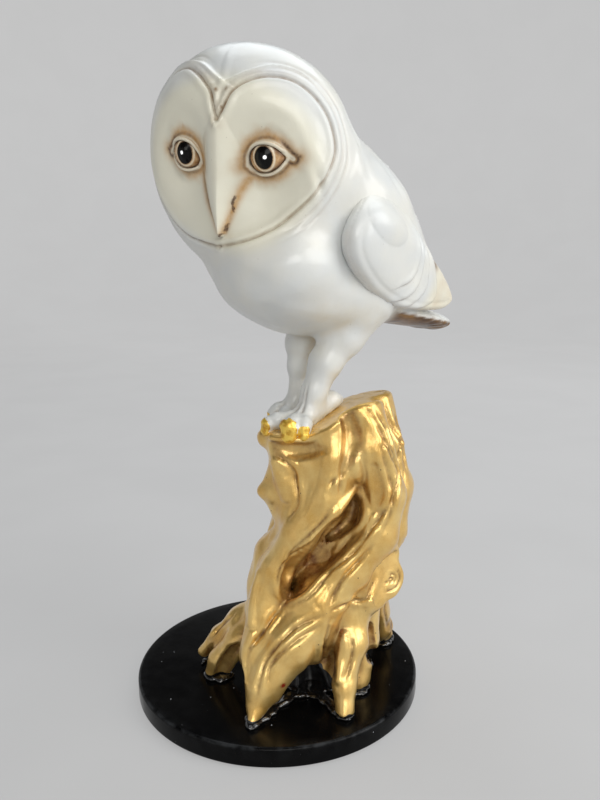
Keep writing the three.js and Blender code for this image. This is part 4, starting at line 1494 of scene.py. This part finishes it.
def studio_card():
    m = Paint("studio_card")
    color = m.mix(m.patches(120, 2, 0.5, 0.4, 0.6), rgb(116, 116, 116), rgb(120, 120, 120))
    height = m.nodes.new("ShaderNodeSeparateXYZ")
    m.links.new(m.place(), height.inputs["Vector"])
    glow = m.spread(height.outputs["Z"], 0.0, 0.5, FLOOR_GLOW, WALL_GLOW)
    glow = m.times(glow, m.spread(height.outputs["Z"], 0.97, 1.2, 1.0, 0.03))
    bright = VIEW @ np.array([0.55, 0.83, 0.0])
    east = m.math("MULTIPLY_ADD", height.outputs["X"], float(bright[0]), 0.0)
    toward = m.math("MULTIPLY_ADD", height.outputs["Y"], float(bright[1]), east)
    glow = m.times(glow, m.spread(toward, -1.0, 0.9, 0.6, 1.0))
    m.plug((1.0, 1.0, 1.0, 1.0), m.shader.inputs["Emission Color"])
    m.plug(glow, m.shader.inputs["Emission Strength"])
    return m.set(color=color, roughness=0.85, specular=0.1)


# ---- Stage, light and camera ----

VIEW = turn("z", CAMERA_AZIMUTH)
FLOOR_GLOW, WALL_GLOW = 0.45, 0.47
STAGE_SIDES = 96
FLOOR_RADIUS, CURVE_RADIUS = 1.4, 0.8


def from_view(x, y, z):
    """Metres to the picture's right, away from the camera, and up."""
    return Vector(VIEW @ np.array([x, y, z], float))


def stage():
    """A pale floor that curves up into a backdrop all the way round."""
    profile = [(FLOOR_RADIUS, 0.0)]
    profile += [(FLOOR_RADIUS + CURVE_RADIUS * math.sin(a), CURVE_RADIUS - CURVE_RADIUS * math.cos(a))
                for a in np.radians(np.linspace(8, 82, 10))]
    profile += [(2.2, 0.85), (2.2, 3.0)]
    points, walls = ringed(profile, STAGE_SIDES)
    faces = [quad[::-1] for quad in walls] + [tuple(range(STAGE_SIDES))]
    mesh = bpy.data.meshes.new("studio_floor")
    mesh.from_pydata(points, [], faces)
    mesh.materials.append(studio_card())
    floor = bpy.data.objects.new("studio_floor", mesh)
    bpy.context.scene.collection.objects.link(floor)
    for polygon in mesh.polygons[:-1]:
        polygon.use_smooth = True


def area_light(name, at, aim, size, power, color):
    data = bpy.data.lights.new(name, "AREA")
    data.shape = "RECTANGLE"
    data.size, data.size_y = size
    data.energy = power
    data.color = color
    lamp = bpy.data.objects.new(name, data)
    lamp.location = from_view(*at)
    lamp.rotation_euler = (from_view(*aim) - lamp.location).to_track_quat("-Z", "Y").to_euler()
    bpy.context.scene.collection.objects.link(lamp)


def lights():
    area_light("window", (0.95, -0.45, 0.7), (0, 0, 0.14), (0.8, 0.9), 8.5, (1.0, 0.99, 0.97))
    area_light("sky", (0.1, 0.25, 1.25), (0, 0, 0.15), (1.2, 1.0), 7.6, (0.9, 0.95, 1.0))
    area_light("front", (0.15, -1.2, 0.7), (0, 0, 0.2), (0.9, 0.6), 6.5, (1.0, 0.98, 0.94))
    area_light("fill", (-0.9, -0.7, 0.35), (0, 0, 0.15), (0.6, 0.9), 0.6, (1.0, 0.93, 0.85))
    world = bpy.data.worlds.new("studio_air")
    world.use_nodes = True
    air = world.node_tree.nodes["Background"]
    air.inputs["Color"].default_value = (0.92, 0.96, 1.0, 1.0)
    air.inputs["Strength"].default_value = 0.28
    bpy.context.scene.world = world


def camera():
    data = bpy.data.cameras.new("camera")
    data.sensor_width = 36.0
    data.lens = CAMERA_LENS
    data.clip_start, data.clip_end = 0.01, 20.0
    eye = bpy.data.objects.new("camera", data)
    tilt = Euler((math.radians(90 - CAMERA_DOWN), 0, math.radians(CAMERA_AZIMUTH))).to_matrix()
    roll = Matrix.Rotation(math.radians(CAMERA_ROLL), 3, "Z")
    bpy.context.scene.view_settings.view_transform = "Standard"
    eye.matrix_world = Matrix.Translation(Vector(CAMERA_AT)) @ (tilt @ roll).to_4x4()
    bpy.context.scene.collection.objects.link(eye)
    bpy.context.scene.camera = eye


# ---- Everything together ----

def repaint(node, material):
    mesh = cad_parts[node].data
    mesh.materials.clear()
    mesh.materials.append(material)


glaze = white_glaze()
eye_finish = painted_eye()
zinc = plated_steel("zinc_steel", rgb(196, 194, 180), rgb(160, 158, 150), 0.3)
wire = plated_steel("steel_wire", rgb(150, 152, 156), rgb(112, 114, 118), 0.25)

camera()
lights()
stage()

plinth(black_lacquer())
bed(black_adhesive())
stump(gold_paint())
owl_body(glaze)
wing(1, "wing_near", "wing_left", glaze)
wing(-1, "wing_far", "wing_right", glaze)
eyeball(1, "eye_near", "eye_left", eye_finish)
eyeball(-1, "eye_far", "eye_right", eye_finish)

repaint("base_felt", black_felt())
for number in (1, 2, 3):
    repaint(f"plinth_screw_{number}", zinc)
for side_name in ("left", "right"):
    repaint(f"leg_rod_{side_name}", wire)
